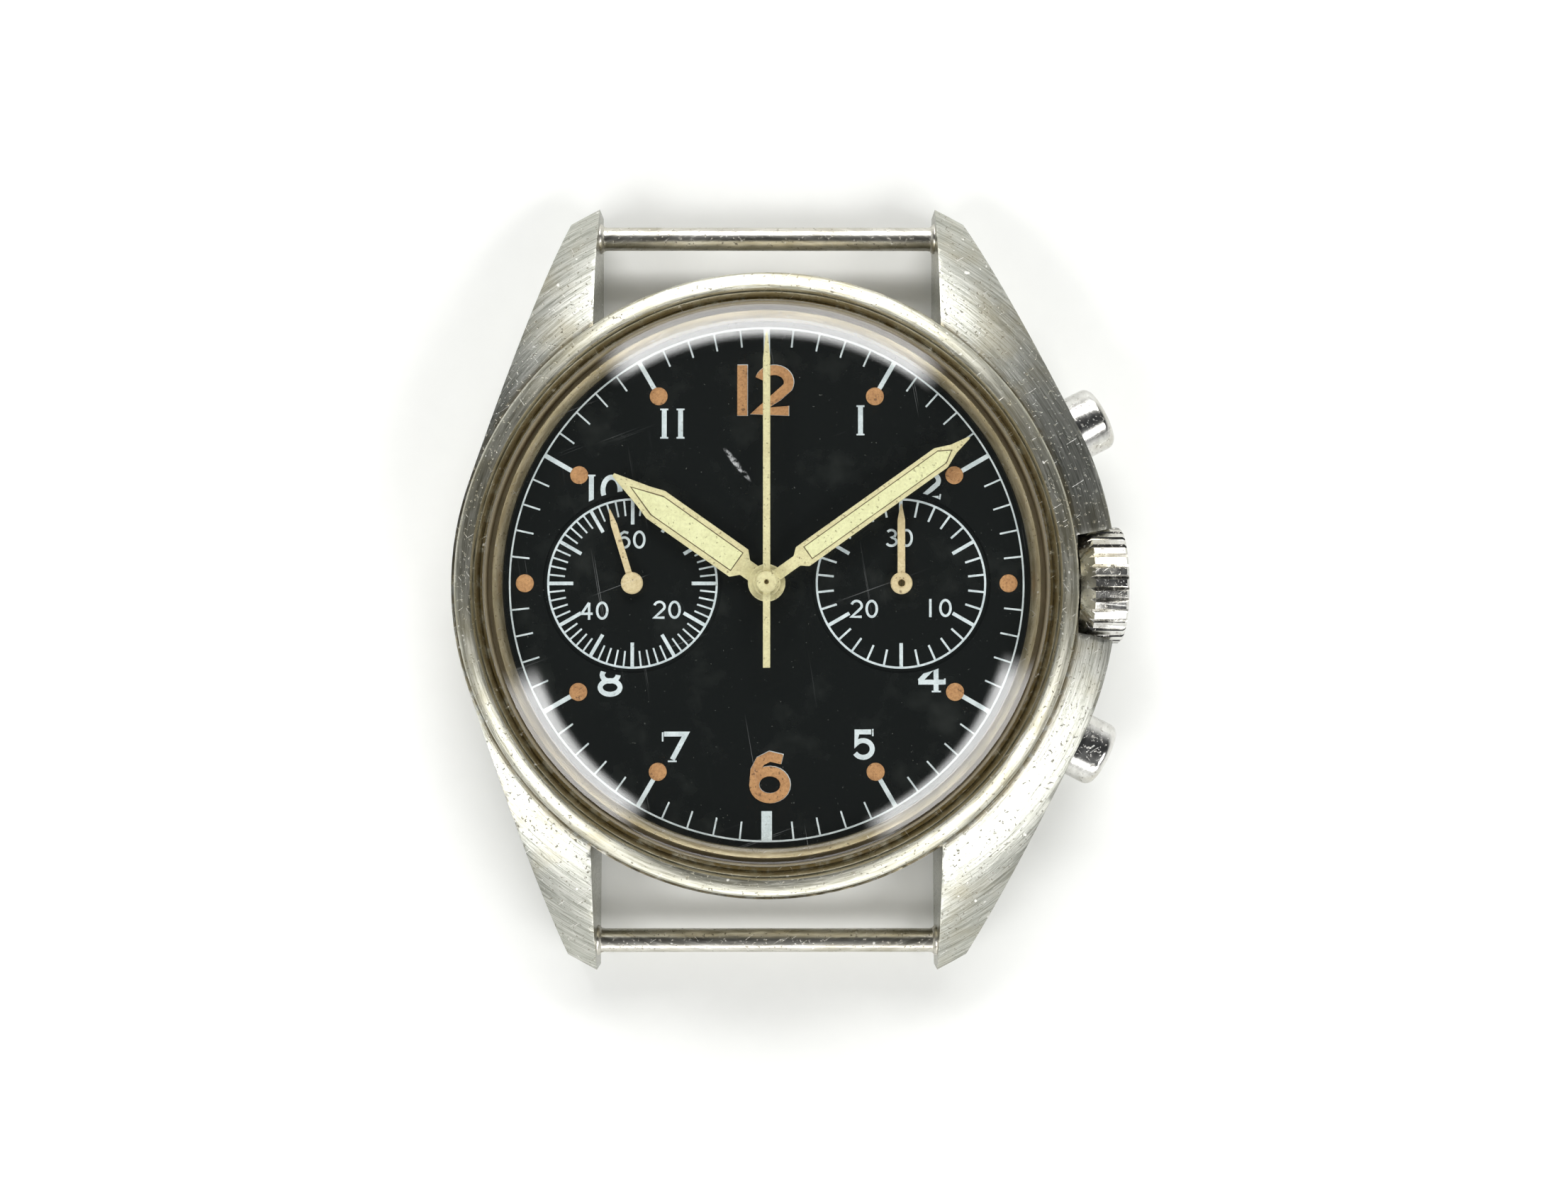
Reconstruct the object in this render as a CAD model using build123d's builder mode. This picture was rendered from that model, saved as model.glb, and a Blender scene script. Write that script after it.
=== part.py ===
from build123d import *
import os
from math import atan2, cos, degrees, hypot, radians, sin, sqrt

os.makedirs("parts", exist_ok=True)

# ---------------------------------------------------------------- driving dimensions (mm)
# Frame: origin on the flat face of the case back, +Z out of the dial, +Y to 12 o'clock, +X to the crown.
strap_gap = 20.0          # distance between the lugs
lug_tip_y = 22.55
lug_shoulder = (11.7, 21.6)
left_radius, left_tangent = 18.05, 20.0      # slim half, at 9 o'clock
guard_radius, guard_tangent = 20.15, 27.3    # half that guards the crown
body_radius, shoulder_radius = 17.95, 17.7        # case wall between the lugs, edge under the bezel
case_floor = 0.6
bore_radius = 15.85
bezel_outer, bezel_inner, bezel_foot, bezel_top = 17.65, 15.9, 7.45, 9.3
crystal_radius, crystal_top, crystal_edge_top = 15.85, 13.0, 10.7
dial_radius, dial_bottom, dial_top, recess_depth = 15.7, 7.45, 7.9, 0.15
subdial_x, subdial_radius = 7.65, 5.1
visible_dial_radius = 15.0
stem_height = 5.2
crown_radius, crown_teeth = 3.375, 32
crown_back_x, crown_inner_x, crown_outer_x = 17.9, 18.35, 20.65
notch_radius, notch_x = 3.55, 17.8
pusher_height, pusher_angle, pusher_radius = 4.35, 27.0, 1.9
pusher_inner_r, pusher_outer_r = 19.9, 22.15
pusher_stem_end = 14.65
bar_y, bar_z, bar_radius = 20.9, 2.8, 0.69
movement_radius = 14.7
plate_bottom, plate_top = 5.7, 6.5
bridge_bottom, bridge_top = 2.55, 3.15

# hands: angle clockwise from 12, height of the underside
chrono_angle, minute_angle, hour_angle = 0.0, 54.4, 305.2
small_seconds_angle, recorder_angle = 342.8, 0.0
hour_hand_z, minute_hand_z, chrono_hand_z, sub_hand_z = 8.45, 8.95, 9.45, 8.1

# axes of the movement's wheels
centre_at = (0.0, 0.0)
fourth_at = (-subdial_x, 0.0)
counter_at = (subdial_x, 0.0)
barrel_at = (3.38, 6.356)
third_at = (-4.395, -2.732)
escape_at = (-9.138, -3.190)
pallet_at = (-7.928, -5.286)
balance_at = (-6.238, -8.213)
crown_wheel_at = (10.604, 2.691)
click_at = (0.99, 12.94)
minute_wheel_at = (2.706, -0.985)
setting_wheel_at = (7.06, -3.03)
coupling_at = (-4.079, 2.015)
counter_idler_at = (4.509, -0.61)
column_wheel_at = (5.2, 9.6)


# ---------------------------------------------------------------- helpers
def polar(radius, angle):
    return (radius * cos(radians(angle)), radius * sin(radians(angle)))


def dome_point(radius, top, edge_radius, edge_height):
    """A point of the ball cap, centred on the Z axis, that runs from its top down to its edge."""
    sag = top - edge_height
    ball = (edge_radius**2 + sag**2) / (2 * sag)
    return (radius, top - ball + sqrt(ball**2 - radius**2))


def gear_face(teeth, module, first_tooth=0.0):
    """A toothed disc with trapezium teeth; first_tooth is the direction of one tooth, in degrees."""
    pitch_radius = teeth * module / 2
    tip, root = pitch_radius + 0.9 * module, pitch_radius - 1.1 * module
    pitch = 360 / teeth
    outline = []
    for tooth in range(teeth):
        middle = first_tooth + tooth * pitch
        outline.append(polar(root, middle - 0.30 * pitch))
        outline.append(polar(tip, middle - 0.11 * pitch))
        outline.append(polar(tip, middle + 0.11 * pitch))
        outline.append(polar(root, middle + 0.30 * pitch))
    with BuildSketch() as face:
        with BuildLine():
            Polyline(*outline, close=True)
        make_face()
    return face.sketch


def spoked_face(teeth, module, rim, hub, spokes, first_tooth=0.0):
    """A toothed rim on straight spokes."""
    root = teeth * module / 2 - 1.1 * module
    with BuildSketch() as face:
        add(gear_face(teeth, module, first_tooth))
        Circle(root - rim, mode=Mode.SUBTRACT)
        Circle(hub)
        with PolarLocations(0, spokes):
            Rectangle(root - rim / 2, hub * 0.6, align=(Align.MIN, Align.CENTER))
    return face.sketch


def disc_face(radius, hole=0.0):
    with BuildSketch() as face:
        Circle(radius)
        if hole > 0:
            Circle(hole, mode=Mode.SUBTRACT)
    return face.sketch


def spiral_face(inner, outer, turns, width):
    """A flat spiral band, as a hairspring or mainspring seen from above."""
    steps = int(turns * 16)
    inside, outside = [], []
    for step in range(steps + 1):
        angle = 360 * turns * step / steps
        radius = inner + (outer - inner) * step / steps
        inside.append(polar(radius, angle))
        outside.append(polar(radius + width, angle))
    with BuildSketch() as face:
        with BuildLine():
            Polyline(*inside, *reversed(outside), close=True)
        make_face()
    return face.sketch


def bar_face(start, end, width):
    """A flat link with round ends between two pivots."""
    length = hypot(end[0] - start[0], end[1] - start[1])
    heading = degrees(atan2(end[1] - start[1], end[0] - start[0]))
    middle = ((start[0] + end[0]) / 2, (start[1] + end[1]) / 2)
    with BuildSketch() as face:
        with Locations(Location((middle[0], middle[1], 0), (0, 0, heading))):
            SlotCenterToCenter(length, width)
    return face.sketch


def stack(at, levels):
    """Faces extruded one above another about one upright axis: (bottom, top, face)."""
    with BuildPart() as tower:
        for bottom, top, face in levels:
            with BuildSketch(Plane((at[0], at[1], bottom))):
                add(face)
            extrude(amount=top - bottom)
    return tower.part


def hand_face(angle, widths, boss, hole):
    """A hand pointing clockwise from 12 by angle; widths are (distance, half width) from tail to tip."""
    right = [(half, distance) for distance, half in widths]
    left = [(-half, distance) for distance, half in reversed(widths) if half > 0]
    with BuildSketch() as face:
        with Locations(Location((0, 0, 0), (0, 0, -angle))):
            with BuildSketch(mode=Mode.PRIVATE) as blade:
                with BuildLine():
                    Polyline(*right, *left, close=True)
                make_face()
                Circle(boss)
                Circle(hole, mode=Mode.SUBTRACT)
            add(blade.sketch)
    return face.sketch


def holes(points):
    """Faces of round holes: (x, y, radius)."""
    with BuildSketch() as face:
        for x, y, radius in points:
            with Locations((x, y)):
                Circle(radius)
    return face.sketch


# ---------------------------------------------------------------- case
inner_lug_y = sqrt(body_radius**2 - (strap_gap / 2) ** 2)
with BuildPart() as mid_case:
    with BuildSketch(Plane.XY.offset(case_floor)):
        with BuildLine():
            left_top = polar(left_radius, 180 - left_tangent)
            right_top = polar(guard_radius, guard_tangent)
            Polyline((-strap_gap / 2, lug_tip_y), (-lug_shoulder[0], lug_shoulder[1]), left_top)
            ThreePointArc(left_top, (-left_radius, 0), (left_top[0], -left_top[1]))
            Polyline(
                (left_top[0], -left_top[1]),
                (-lug_shoulder[0], -lug_shoulder[1]),
                (-strap_gap / 2, -lug_tip_y),
                (strap_gap / 2, -lug_tip_y),
                (lug_shoulder[0], -lug_shoulder[1]),
                (right_top[0], -right_top[1]),
            )
            ThreePointArc((right_top[0], -right_top[1]), (guard_radius, 0), right_top)
            Polyline(right_top, lug_shoulder, (strap_gap / 2, lug_tip_y), (-strap_gap / 2, lug_tip_y))
        make_face()
        with Locations((0, inner_lug_y), (0, -inner_lug_y)):
            Rectangle(strap_gap, 2 * (lug_tip_y - inner_lug_y) + 1, mode=Mode.SUBTRACT)
        Circle(body_radius)
    extrude(amount=8.2 - case_floor)
    # the top is one turned surface: flat under the bezel, then falling away to the lug tips
    with BuildSketch(Plane.XZ):
        with BuildLine():
            Polyline((0, 0.5), (0, 8.15), (16.5, 8.15), (16.5, bezel_foot), (shoulder_radius, bezel_foot))
            ThreePointArc((shoulder_radius, bezel_foot), (21.3, 6.1), (24.9, 3.15))
            Polyline((24.9, 3.15), (24.9, 1.0), (17.0, 0.6), (0, 0.5))
        make_face()
    revolve(axis=Axis.Z, mode=Mode.INTERSECT)
    with BuildSketch(Plane.XY.offset(case_floor - 0.1)):
        Circle(bore_radius + 0.1)
    extrude(amount=1.25, mode=Mode.SUBTRACT)
    with BuildSketch(Plane.XY.offset(1.5)):
        Circle(bore_radius)
    extrude(amount=7, mode=Mode.SUBTRACT)
    with BuildSketch(Plane.XY.offset(case_floor)):
        Circle(16.6)
        Circle(16.0, mode=Mode.SUBTRACT)
    extrude(amount=0.3, mode=Mode.SUBTRACT)
    with BuildSketch(Plane.YZ.offset(notch_x)):
        with Locations((0, stem_height)):
            Circle(notch_radius)
    extrude(amount=3, mode=Mode.SUBTRACT)
    with BuildSketch(Plane.YZ.offset(15)):
        with Locations((0, stem_height)):
            Circle(1.3)
    extrude(amount=4, mode=Mode.SUBTRACT)
    for side in (1, -1):
        outward = Plane((0, 0, pusher_height), x_dir=(0, 0, 1), z_dir=(*polar(1, side * pusher_angle), 0))
        with BuildSketch(outward.offset(18.7)):
            Circle(pusher_radius + 0.08)
        extrude(amount=3, mode=Mode.SUBTRACT)
        with BuildSketch(outward.offset(15)):
            Circle(1.0)
        extrude(amount=4, mode=Mode.SUBTRACT)
    # blind holes for the ends of the strap bars
    for side in (1, -1):
        with BuildSketch(Plane.YZ.offset(-strap_gap / 2 - 0.5)):
            with Locations((side * bar_y, bar_z)):
                Circle(bar_radius)
        extrude(amount=strap_gap + 1, mode=Mode.SUBTRACT)

with BuildPart() as bezel:
    with BuildSketch(Plane.XZ):
        with BuildLine():
            Polyline(
                (bezel_inner, 8.2),
                (16.53, 8.2),
                (16.53, bezel_foot),
                (bezel_outer, bezel_foot),
                (bezel_outer, 8.9),
                (bezel_outer - 0.2, 9.12),
                (16.4, bezel_top),
                (bezel_inner, 8.75),
                close=True,
            )
        make_face()
    revolve(axis=Axis.Z)

with BuildPart() as crystal:
    with BuildSketch(Plane.XZ):
        with BuildLine():
            Polyline((15.0, 9.75), (15.5, 9.3), (15.5, 8.0), (crystal_radius, 8.0), (crystal_radius, 10.3))
            ThreePointArc((crystal_radius, 10.3), (15.72, 10.58), (15.5, crystal_edge_top))
            outer_middle = dome_point(8, crystal_top, 15.5, crystal_edge_top)
            ThreePointArc((15.5, crystal_edge_top), outer_middle, (0, crystal_top))
            Line((0, crystal_top), (0, 11.9))
            ThreePointArc((0, 11.9), dome_point(8, 11.9, 15.0, 9.75), (15.0, 9.75))
        make_face()
    revolve(axis=Axis.Z)

with BuildPart() as tension_ring:
    with BuildSketch(Plane.XY.offset(dial_top)):
        Circle(15.45)
        Circle(visible_dial_radius, mode=Mode.SUBTRACT)
    extrude(amount=1.0)

with BuildPart() as case_back:
    with BuildSketch():
        Circle(16.9)
    extrude(amount=case_floor)
    with BuildSketch(Plane.XY.offset(case_floor)):
        Circle(15.9)
        Circle(15.1, mode=Mode.SUBTRACT)
    extrude(amount=0.9)
    with PolarLocations(16.9, 6):
        Box(2.2, 2.4, 0.9, mode=Mode.SUBTRACT)

with BuildPart() as back_gasket:
    with BuildSketch(Plane.XY.offset(case_floor)):
        Circle(16.5)
        Circle(16.1, mode=Mode.SUBTRACT)
    extrude(amount=0.28)

with BuildPart() as strap_bar_12:
    with BuildSketch(Plane.YZ.offset(-strap_gap / 2 - 0.5)):
        with Locations((bar_y, bar_z)):
            Circle(bar_radius)
    extrude(amount=strap_gap + 1)

with BuildPart() as strap_bar_6:
    with BuildSketch(Plane.YZ.offset(-strap_gap / 2 - 0.5)):
        with Locations((-bar_y, bar_z)):
            Circle(bar_radius)
    extrude(amount=strap_gap + 1)

with BuildPart() as crown_tube:
    with BuildSketch(Plane.YZ.offset(16.0)):
        with Locations((0, stem_height)):
            Circle(1.3)
            Circle(0.66, mode=Mode.SUBTRACT)
    extrude(amount=3.6)


# ---------------------------------------------------------------- crown and pushers
def pusher_tube(side):
    outward = Plane((0, 0, pusher_height), x_dir=(0, 0, 1), z_dir=(*polar(1, side * pusher_angle), 0))
    with BuildPart() as tube:
        with BuildSketch(outward.offset(16.2)):
            Circle(1.0)
            Circle(0.55, mode=Mode.SUBTRACT)
        extrude(amount=2.5)
    return tube


def pusher(side):
    """A round cap with a rolled edge on a thin stem that reaches the lever inside."""
    outward = Plane((0, 0, pusher_height), x_dir=(0, 0, 1), z_dir=(*polar(1, side * pusher_angle), 0))
    with BuildPart() as button:
        with BuildSketch(outward.offset(pusher_inner_r)):
            Circle(pusher_radius)
        extrude(amount=pusher_outer_r - pusher_inner_r)
        rim = button.edges().filter_by(GeomType.CIRCLE).sort_by(lambda e: e.center().X)[-1]
        fillet(rim, 0.5)
        with BuildSketch(outward.offset(pusher_stem_end)):
            Circle(0.5)
        extrude(amount=pusher_inner_r - pusher_stem_end)
    return button


pusher_tube_start = pusher_tube(1)
pusher_tube_reset = pusher_tube(-1)
pusher_start = pusher(1)
pusher_reset = pusher(-1)

with BuildPart() as crown:
    with BuildSketch(Plane.YZ.offset(crown_inner_x)):
        with Locations((0, stem_height)):
            add(gear_face(crown_teeth, 2 * crown_radius / (crown_teeth + 1.8)))
    extrude(amount=crown_outer_x - crown_inner_x)
    with BuildSketch(Plane.XZ):
        with BuildLine():
            Polyline(
                (crown_back_x, stem_height),
                (crown_back_x, stem_height + 2.7),
                (crown_inner_x, stem_height + 3.1),
                (crown_inner_x + 0.3, crown_radius + stem_height + 0.02),
                (crown_outer_x - 0.25, crown_radius + stem_height + 0.02),
                (crown_outer_x, stem_height + 2.7),
                (crown_outer_x, stem_height),
                close=True,
            )
        make_face()
    revolve(axis=Axis((0, 0, stem_height), (1, 0, 0)), mode=Mode.INTERSECT)
    with BuildSketch(Plane.XZ):
        with BuildLine():
            Polyline(
                (crown_back_x, stem_height),
                (crown_back_x, stem_height + 2.7),
                (crown_inner_x + 0.02, stem_height + 3.1),
                (crown_inner_x + 0.02, stem_height),
                close=True,
            )
        make_face()
    revolve(axis=Axis((0, 0, stem_height), (1, 0, 0)))
    with BuildSketch(Plane.YZ.offset(crown_back_x - 0.1)):
        with Locations((0, stem_height)):
            Circle(1.5)
    extrude(amount=2.1, mode=Mode.SUBTRACT)
    with BuildSketch(Plane.YZ.offset(19.8)):
        with Locations((0, stem_height)):
            Circle(0.6)
    extrude(amount=0.4, mode=Mode.SUBTRACT)

with BuildPart() as crown_gasket:
    with BuildSketch(Plane.YZ.offset(19.15)):
        with Locations((0, stem_height)):
            Circle(1.47)
            Circle(1.33, mode=Mode.SUBTRACT)
    extrude(amount=0.4)

with BuildPart() as winding_stem:
    with BuildSketch(Plane.YZ.offset(13.4)):
        with Locations((0, stem_height)):
            Circle(0.6)
    extrude(amount=6.8)
    with BuildSketch(Plane.YZ.offset(9.2)):
        with Locations((0, stem_height)):
            Circle(0.5)
    extrude(amount=4.2)


def stem_wheel(start, length, teeth, module, bore):
    with BuildPart() as wheel:
        with BuildSketch(Plane.YZ.offset(start)):
            with Locations((0, stem_height)):
                add(gear_face(teeth, module))
                Circle(bore, mode=Mode.SUBTRACT)
        extrude(amount=length)
    return wheel


winding_pinion = stem_wheel(11.0, 1.0, 16, 0.16, 0.55)
with BuildPart() as sliding_clutch:
    with BuildSketch(Plane.YZ.offset(9.9)):
        with Locations((0, stem_height)):
            add(gear_face(14, 0.14))
            Circle(0.55, mode=Mode.SUBTRACT)
    extrude(amount=0.9)
    with BuildSketch(Plane.YZ.offset(10.2)):
        with Locations((0, stem_height)):
            Circle(1.3)
            Circle(0.75, mode=Mode.SUBTRACT)
    extrude(amount=0.3, mode=Mode.SUBTRACT)

with BuildPart() as yoke:
    with BuildSketch(Plane.XY.offset(6.55)):
        add(bar_face((10.35, 0.4), (10.35, 4.4), 0.7))
    extrude(amount=0.25)
    with BuildSketch(Plane.XY.offset(6.1)):
        with Locations((10.35, 0.3)):
            Rectangle(0.18, 0.5)
    extrude(amount=0.5)

with BuildPart() as setting_lever:
    with BuildSketch(Plane.XY.offset(6.72)):
        add(bar_face((12.4, -3.4), (13.2, -0.95), 0.8))
    extrude(amount=0.25)
    with BuildSketch(Plane.XY.offset(5.3)):
        with Locations((13.2, -0.95)):
            Circle(0.2)
    extrude(amount=1.5)

# ---------------------------------------------------------------- dial and movement plates
with BuildPart() as movement_ring:
    with BuildSketch(Plane.XY.offset(2.4)):
        Circle(15.8)
        Circle(movement_radius + 0.05, mode=Mode.SUBTRACT)
    extrude(amount=dial_bottom - 2.4)
    for angle, height, radius in (
        (0, stem_height, 0.75),
        (pusher_angle, pusher_height, 0.6),
        (-pusher_angle, pusher_height, 0.6),
    ):
        outward = Plane((0, 0, height), x_dir=(0, 0, 1), z_dir=(*polar(1, angle), 0))
        with BuildSketch(outward.offset(14)):
            Circle(radius)
        extrude(amount=3, mode=Mode.SUBTRACT)

with BuildPart() as dial:
    with BuildSketch(Plane.XY.offset(dial_bottom)):
        Circle(dial_radius)
        add(holes([(0, 0, 0.9), (subdial_x, 0, 0.3), (-subdial_x, 0, 0.3)]), mode=Mode.SUBTRACT)
    extrude(amount=dial_top - dial_bottom)
    with BuildSketch(Plane.XY.offset(dial_top - recess_depth)):
        with Locations((subdial_x, 0), (-subdial_x, 0)):
            Circle(subdial_radius)
    extrude(amount=1, mode=Mode.SUBTRACT)
    with BuildSketch(Plane.XY.offset(plate_top)):
        with Locations((-3, 12.6), (4, -12.6)):
            Circle(0.35)
    extrude(amount=dial_bottom - plate_top)

arbor_holes = [
    (0, 0, 0.6),
    (-subdial_x, 0, 0.25),
    (subdial_x, 0, 0.25),
    (*third_at, 0.2),
    (*escape_at, 0.2),
    (*pallet_at, 0.2),
    (*balance_at, 0.2),
    (*barrel_at, 0.55),
]
with BuildPart() as main_plate:
    with BuildSketch(Plane.XY.offset(plate_bottom)):
        Circle(movement_radius)
        add(holes(arbor_holes), mode=Mode.SUBTRACT)
        with Locations((12, 0)):
            Rectangle(6.2, 3.4, mode=Mode.SUBTRACT)
    extrude(amount=plate_top - plate_bottom)


def region_face(points, hole_list):
    """A bridge's outline: a polygon cut to the movement's round edge, with round holes."""
    with BuildSketch() as face:
        with BuildLine():
            Polyline(*points, close=True)
        make_face()
        Circle(14.3, mode=Mode.INTERSECT)
        add(holes(hole_list), mode=Mode.SUBTRACT)
    return face.sketch


with BuildPart() as barrel_bridge:
    with BuildSketch(Plane.XY.offset(bridge_bottom)):
        add(region_face(
            [(-5.5, 15), (-2.4, 3.4), (-0.8, 1.3), (15, 1.3), (15, 15)],
            [(*barrel_at, 0.55), (*click_at, 0.3), (*column_wheel_at, 0.3), (*crown_wheel_at, 0.3)],
        ))
        with Locations(Location((*polar(13.7, pusher_angle), 0), (0, 0, pusher_angle))):
            Rectangle(2.6, 1.8, mode=Mode.SUBTRACT)
    extrude(amount=bridge_top - bridge_bottom)
    with BuildSketch(Plane.XY.offset(bridge_top)):
        with Locations((-3.6, 13.2), (9.9, 9.7)):
            Circle(0.8)
    extrude(amount=plate_bottom - bridge_top)

with BuildPart() as train_bridge:
    with BuildSketch(Plane.XY.offset(bridge_bottom)):
        add(region_face(
            [(-15, 4.6), (-2.9, 3.0), (-1.2, 1.0), (1.5, 1.0), (2.2, -6.6), (-1.9, -6.6), (-15, -4.4)],
            [(0, 0, 0.5), (*fourth_at, 0.3), (*third_at, 0.2), (*escape_at, 0.2)],
        ))
    extrude(amount=bridge_top - bridge_bottom)
    with BuildSketch(Plane.XY.offset(bridge_top)):
        with Locations((-12.9, 2.6), (-12.9, -2.6), (0.6, -5.7)):
            Circle(0.6)
    extrude(amount=plate_bottom - bridge_top)

with BuildPart() as balance_cock:
    with BuildSketch(Plane.XY.offset(bridge_bottom)):
        add(bar_face(balance_at, (-1.5, -12.3), 2.6))
        add(holes([(*balance_at, 0.2)]), mode=Mode.SUBTRACT)
    extrude(amount=bridge_top - bridge_bottom)
    with BuildSketch(Plane.XY.offset(bridge_top)):
        with Locations((-1.5, -12.3)):
            Circle(1.0)
    extrude(amount=plate_bottom - bridge_top)

pallet_foot = (-10.6, -7.4)
with BuildPart() as pallet_cock:
    with BuildSketch(Plane.XY.offset(4.65)):
        add(bar_face(pallet_at, pallet_foot, 1.0))
        add(holes([(*pallet_at, 0.2)]), mode=Mode.SUBTRACT)
    extrude(amount=0.3)
    with BuildSketch(Plane.XY.offset(4.95)):
        with Locations(pallet_foot):
            Circle(0.5)
    extrude(amount=plate_bottom - 4.95)

with BuildPart() as chronograph_bridge:
    with BuildSketch(Plane.XY.offset(1.15)):
        add(bar_face((-0.5, -4.6), centre_at, 1.2))
        add(bar_face(centre_at, counter_at, 1.2))
        add(bar_face(counter_at, (10.9, 2.6), 1.2))
        add(holes([(0, 0, 0.2), (*counter_at, 0.25), (*counter_idler_at, 0.2)]), mode=Mode.SUBTRACT)
    extrude(amount=0.35)
    with BuildSketch(Plane.XY.offset(1.5)):
        with Locations((-0.5, -4.6), (10.9, 2.6)):
            Circle(0.5)
    extrude(amount=bridge_bottom - 1.5)

jewel_spots = [
    (*third_at, 0.2, bridge_bottom - 0.12),
    (*escape_at, 0.2, bridge_bottom - 0.12),
    (*balance_at, 0.2, bridge_bottom - 0.12),
    (*third_at, 0.2, plate_top),
    (*escape_at, 0.2, plate_top),
    (*pallet_at, 0.2, plate_top),
    (*balance_at, 0.2, plate_top),
]
with BuildPart() as jewels:
    for x, y, hole, bottom in jewel_spots:
        with BuildSketch(Plane((x, y, bottom))):
            Circle(0.55)
            Circle(hole, mode=Mode.SUBTRACT)
        extrude(amount=0.12)

screw_spots = [(-3.6, 13.2), (9.9, 9.7), (-12.9, 2.6), (-12.9, -2.6), (-1.5, -12.3)]
with BuildPart() as bridge_screws:
    for x, y in screw_spots:
        with BuildSketch(Plane((x, y, bridge_bottom - 0.35))):
            Circle(0.55)
            Rectangle(1.2, 0.16, mode=Mode.SUBTRACT)
        extrude(amount=0.15)
        with BuildSketch(Plane((x, y, bridge_bottom - 0.2))):
            Circle(0.55)
        extrude(amount=0.2)

# ---------------------------------------------------------------- going train and winding
with BuildPart() as barrel:
    add(stack(barrel_at, [
        (3.7, 3.8, disc_face(5.6, 0.55)),
        (3.8, 4.7, disc_face(5.6, 5.3)),
        (4.7, 5.2, gear_face(78, 0.16, 242 + 180 / 78)),
    ]))
    with BuildSketch(Plane((*barrel_at, 4.6))):
        Circle(0.55)
    extrude(amount=0.8, mode=Mode.SUBTRACT)
    with BuildSketch(Plane((*barrel_at, 4.6))):
        Circle(5.3)
    extrude(amount=0.4, mode=Mode.SUBTRACT)

with BuildPart() as mainspring:
    add(stack(barrel_at, [(3.9, 4.9, spiral_face(1.2, 4.9, 9, 0.2))]))

with BuildPart() as ratchet_wheel:
    add(stack(barrel_at, [
        (3.25, 3.6, gear_face(76, 0.15, -26.9)),
        (3.6, 5.68, disc_face(0.5)),
        (2.6, 3.25, disc_face(0.5)),
    ]))

with BuildPart() as crown_wheel:
    add(stack(crown_wheel_at, [
        (3.25, 3.6, gear_face(32, 0.15, 153.1 + 180 / 32)),
        (2.6, 3.25, disc_face(0.25)),
    ]))

with BuildPart() as click:
    with BuildSketch(Plane.XY.offset(3.25)):
        add(bar_face(click_at, (2.6, 12.62), 0.7))
    extrude(amount=0.35)
    with BuildSketch(Plane.XY.offset(bridge_bottom)):
        with Locations(click_at):
            Circle(0.25)
    extrude(amount=0.8)

with BuildPart() as centre_wheel:
    add(stack(centre_at, [
        (3.25, 4.5, disc_face(0.4, 0.2)),
        (4.5, 5.3, gear_face(12, 0.16, 62)),
        (5.3, 5.6, spoked_face(80, 0.115, 0.5, 0.9, 5, 211.86)),
        (5.6, 9.2, disc_face(0.35, 0.2)),
    ]))
    with BuildSketch(Plane.XY.offset(3)):
        Circle(0.2)
    extrude(amount=7, mode=Mode.SUBTRACT)

with BuildPart() as cannon_pinion:
    add(stack(centre_at, [
        (6.55, 6.85, gear_face(12, 0.12, -20)),
        (6.85, 9.2, disc_face(0.55)),
    ]))
    with BuildSketch(Plane.XY.offset(6)):
        Circle(0.35)
    extrude(amount=4, mode=Mode.SUBTRACT)

with BuildPart() as minute_wheel:
    add(stack(minute_wheel_at, [
        (6.52, 6.6, disc_face(0.5)),
        (6.6, 6.8, gear_face(36, 0.12, 160 + 5)),
        (6.8, 7.25, gear_face(10, 0.1152, 160)),
    ]))

with BuildPart() as setting_wheel:
    add(stack(setting_wheel_at, [
        (6.52, 6.6, disc_face(0.5)),
        (6.6, 6.8, gear_face(43, 0.12, 154.9)),
    ]))

with BuildPart() as hour_wheel:
    add(stack(centre_at, [
        (7.0, 7.2, gear_face(40, 0.1152, -20 + 4.5)),
        (7.2, 8.7, disc_face(0.78)),
    ]))
    with BuildSketch(Plane.XY.offset(6.9)):
        Circle(0.62)
    extrude(amount=3, mode=Mode.SUBTRACT)

with BuildPart() as third_wheel:
    add(stack(third_at, [
        (2.6, 4.35, disc_face(0.15)),
        (4.35, 4.55, spoked_face(75, 0.10, 0.45, 0.7, 5, 140.0)),
        (4.55, 5.25, disc_face(0.2)),
        (5.25, 5.65, gear_face(10, 0.115, 31.86 + 18)),
        (5.65, 6.6, disc_face(0.15)),
    ]))

with BuildPart() as fourth_wheel:
    add(stack(fourth_at, [
        (1.5, 2.05, disc_face(0.15)),
        (2.05, 2.2, spoked_face(58, 0.1, 0.4, 0.7, 5, 29.43)),
        (2.2, 4.25, disc_face(0.2)),
        (4.25, 4.65, gear_face(10, 0.1, -40 + 18)),
        (4.65, 4.85, disc_face(0.2)),
        (4.85, 5.05, spoked_face(80, 0.08, 0.4, 0.7, 5, 245)),
        (5.05, 8.3, disc_face(0.2)),
    ]))

with BuildPart() as escape_wheel:
    add(stack(escape_at, [
        (2.6, 4.75, disc_face(0.12)),
        (4.75, 5.15, gear_face(8, 0.08, 65 + 22.5)),
        (5.15, 5.25, disc_face(0.3)),
        (5.25, 5.4, spoked_face(15, 0.25, 0.25, 0.5, 4, -60 + 12)),
        (5.4, 6.6, disc_face(0.12)),
    ]))

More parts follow.
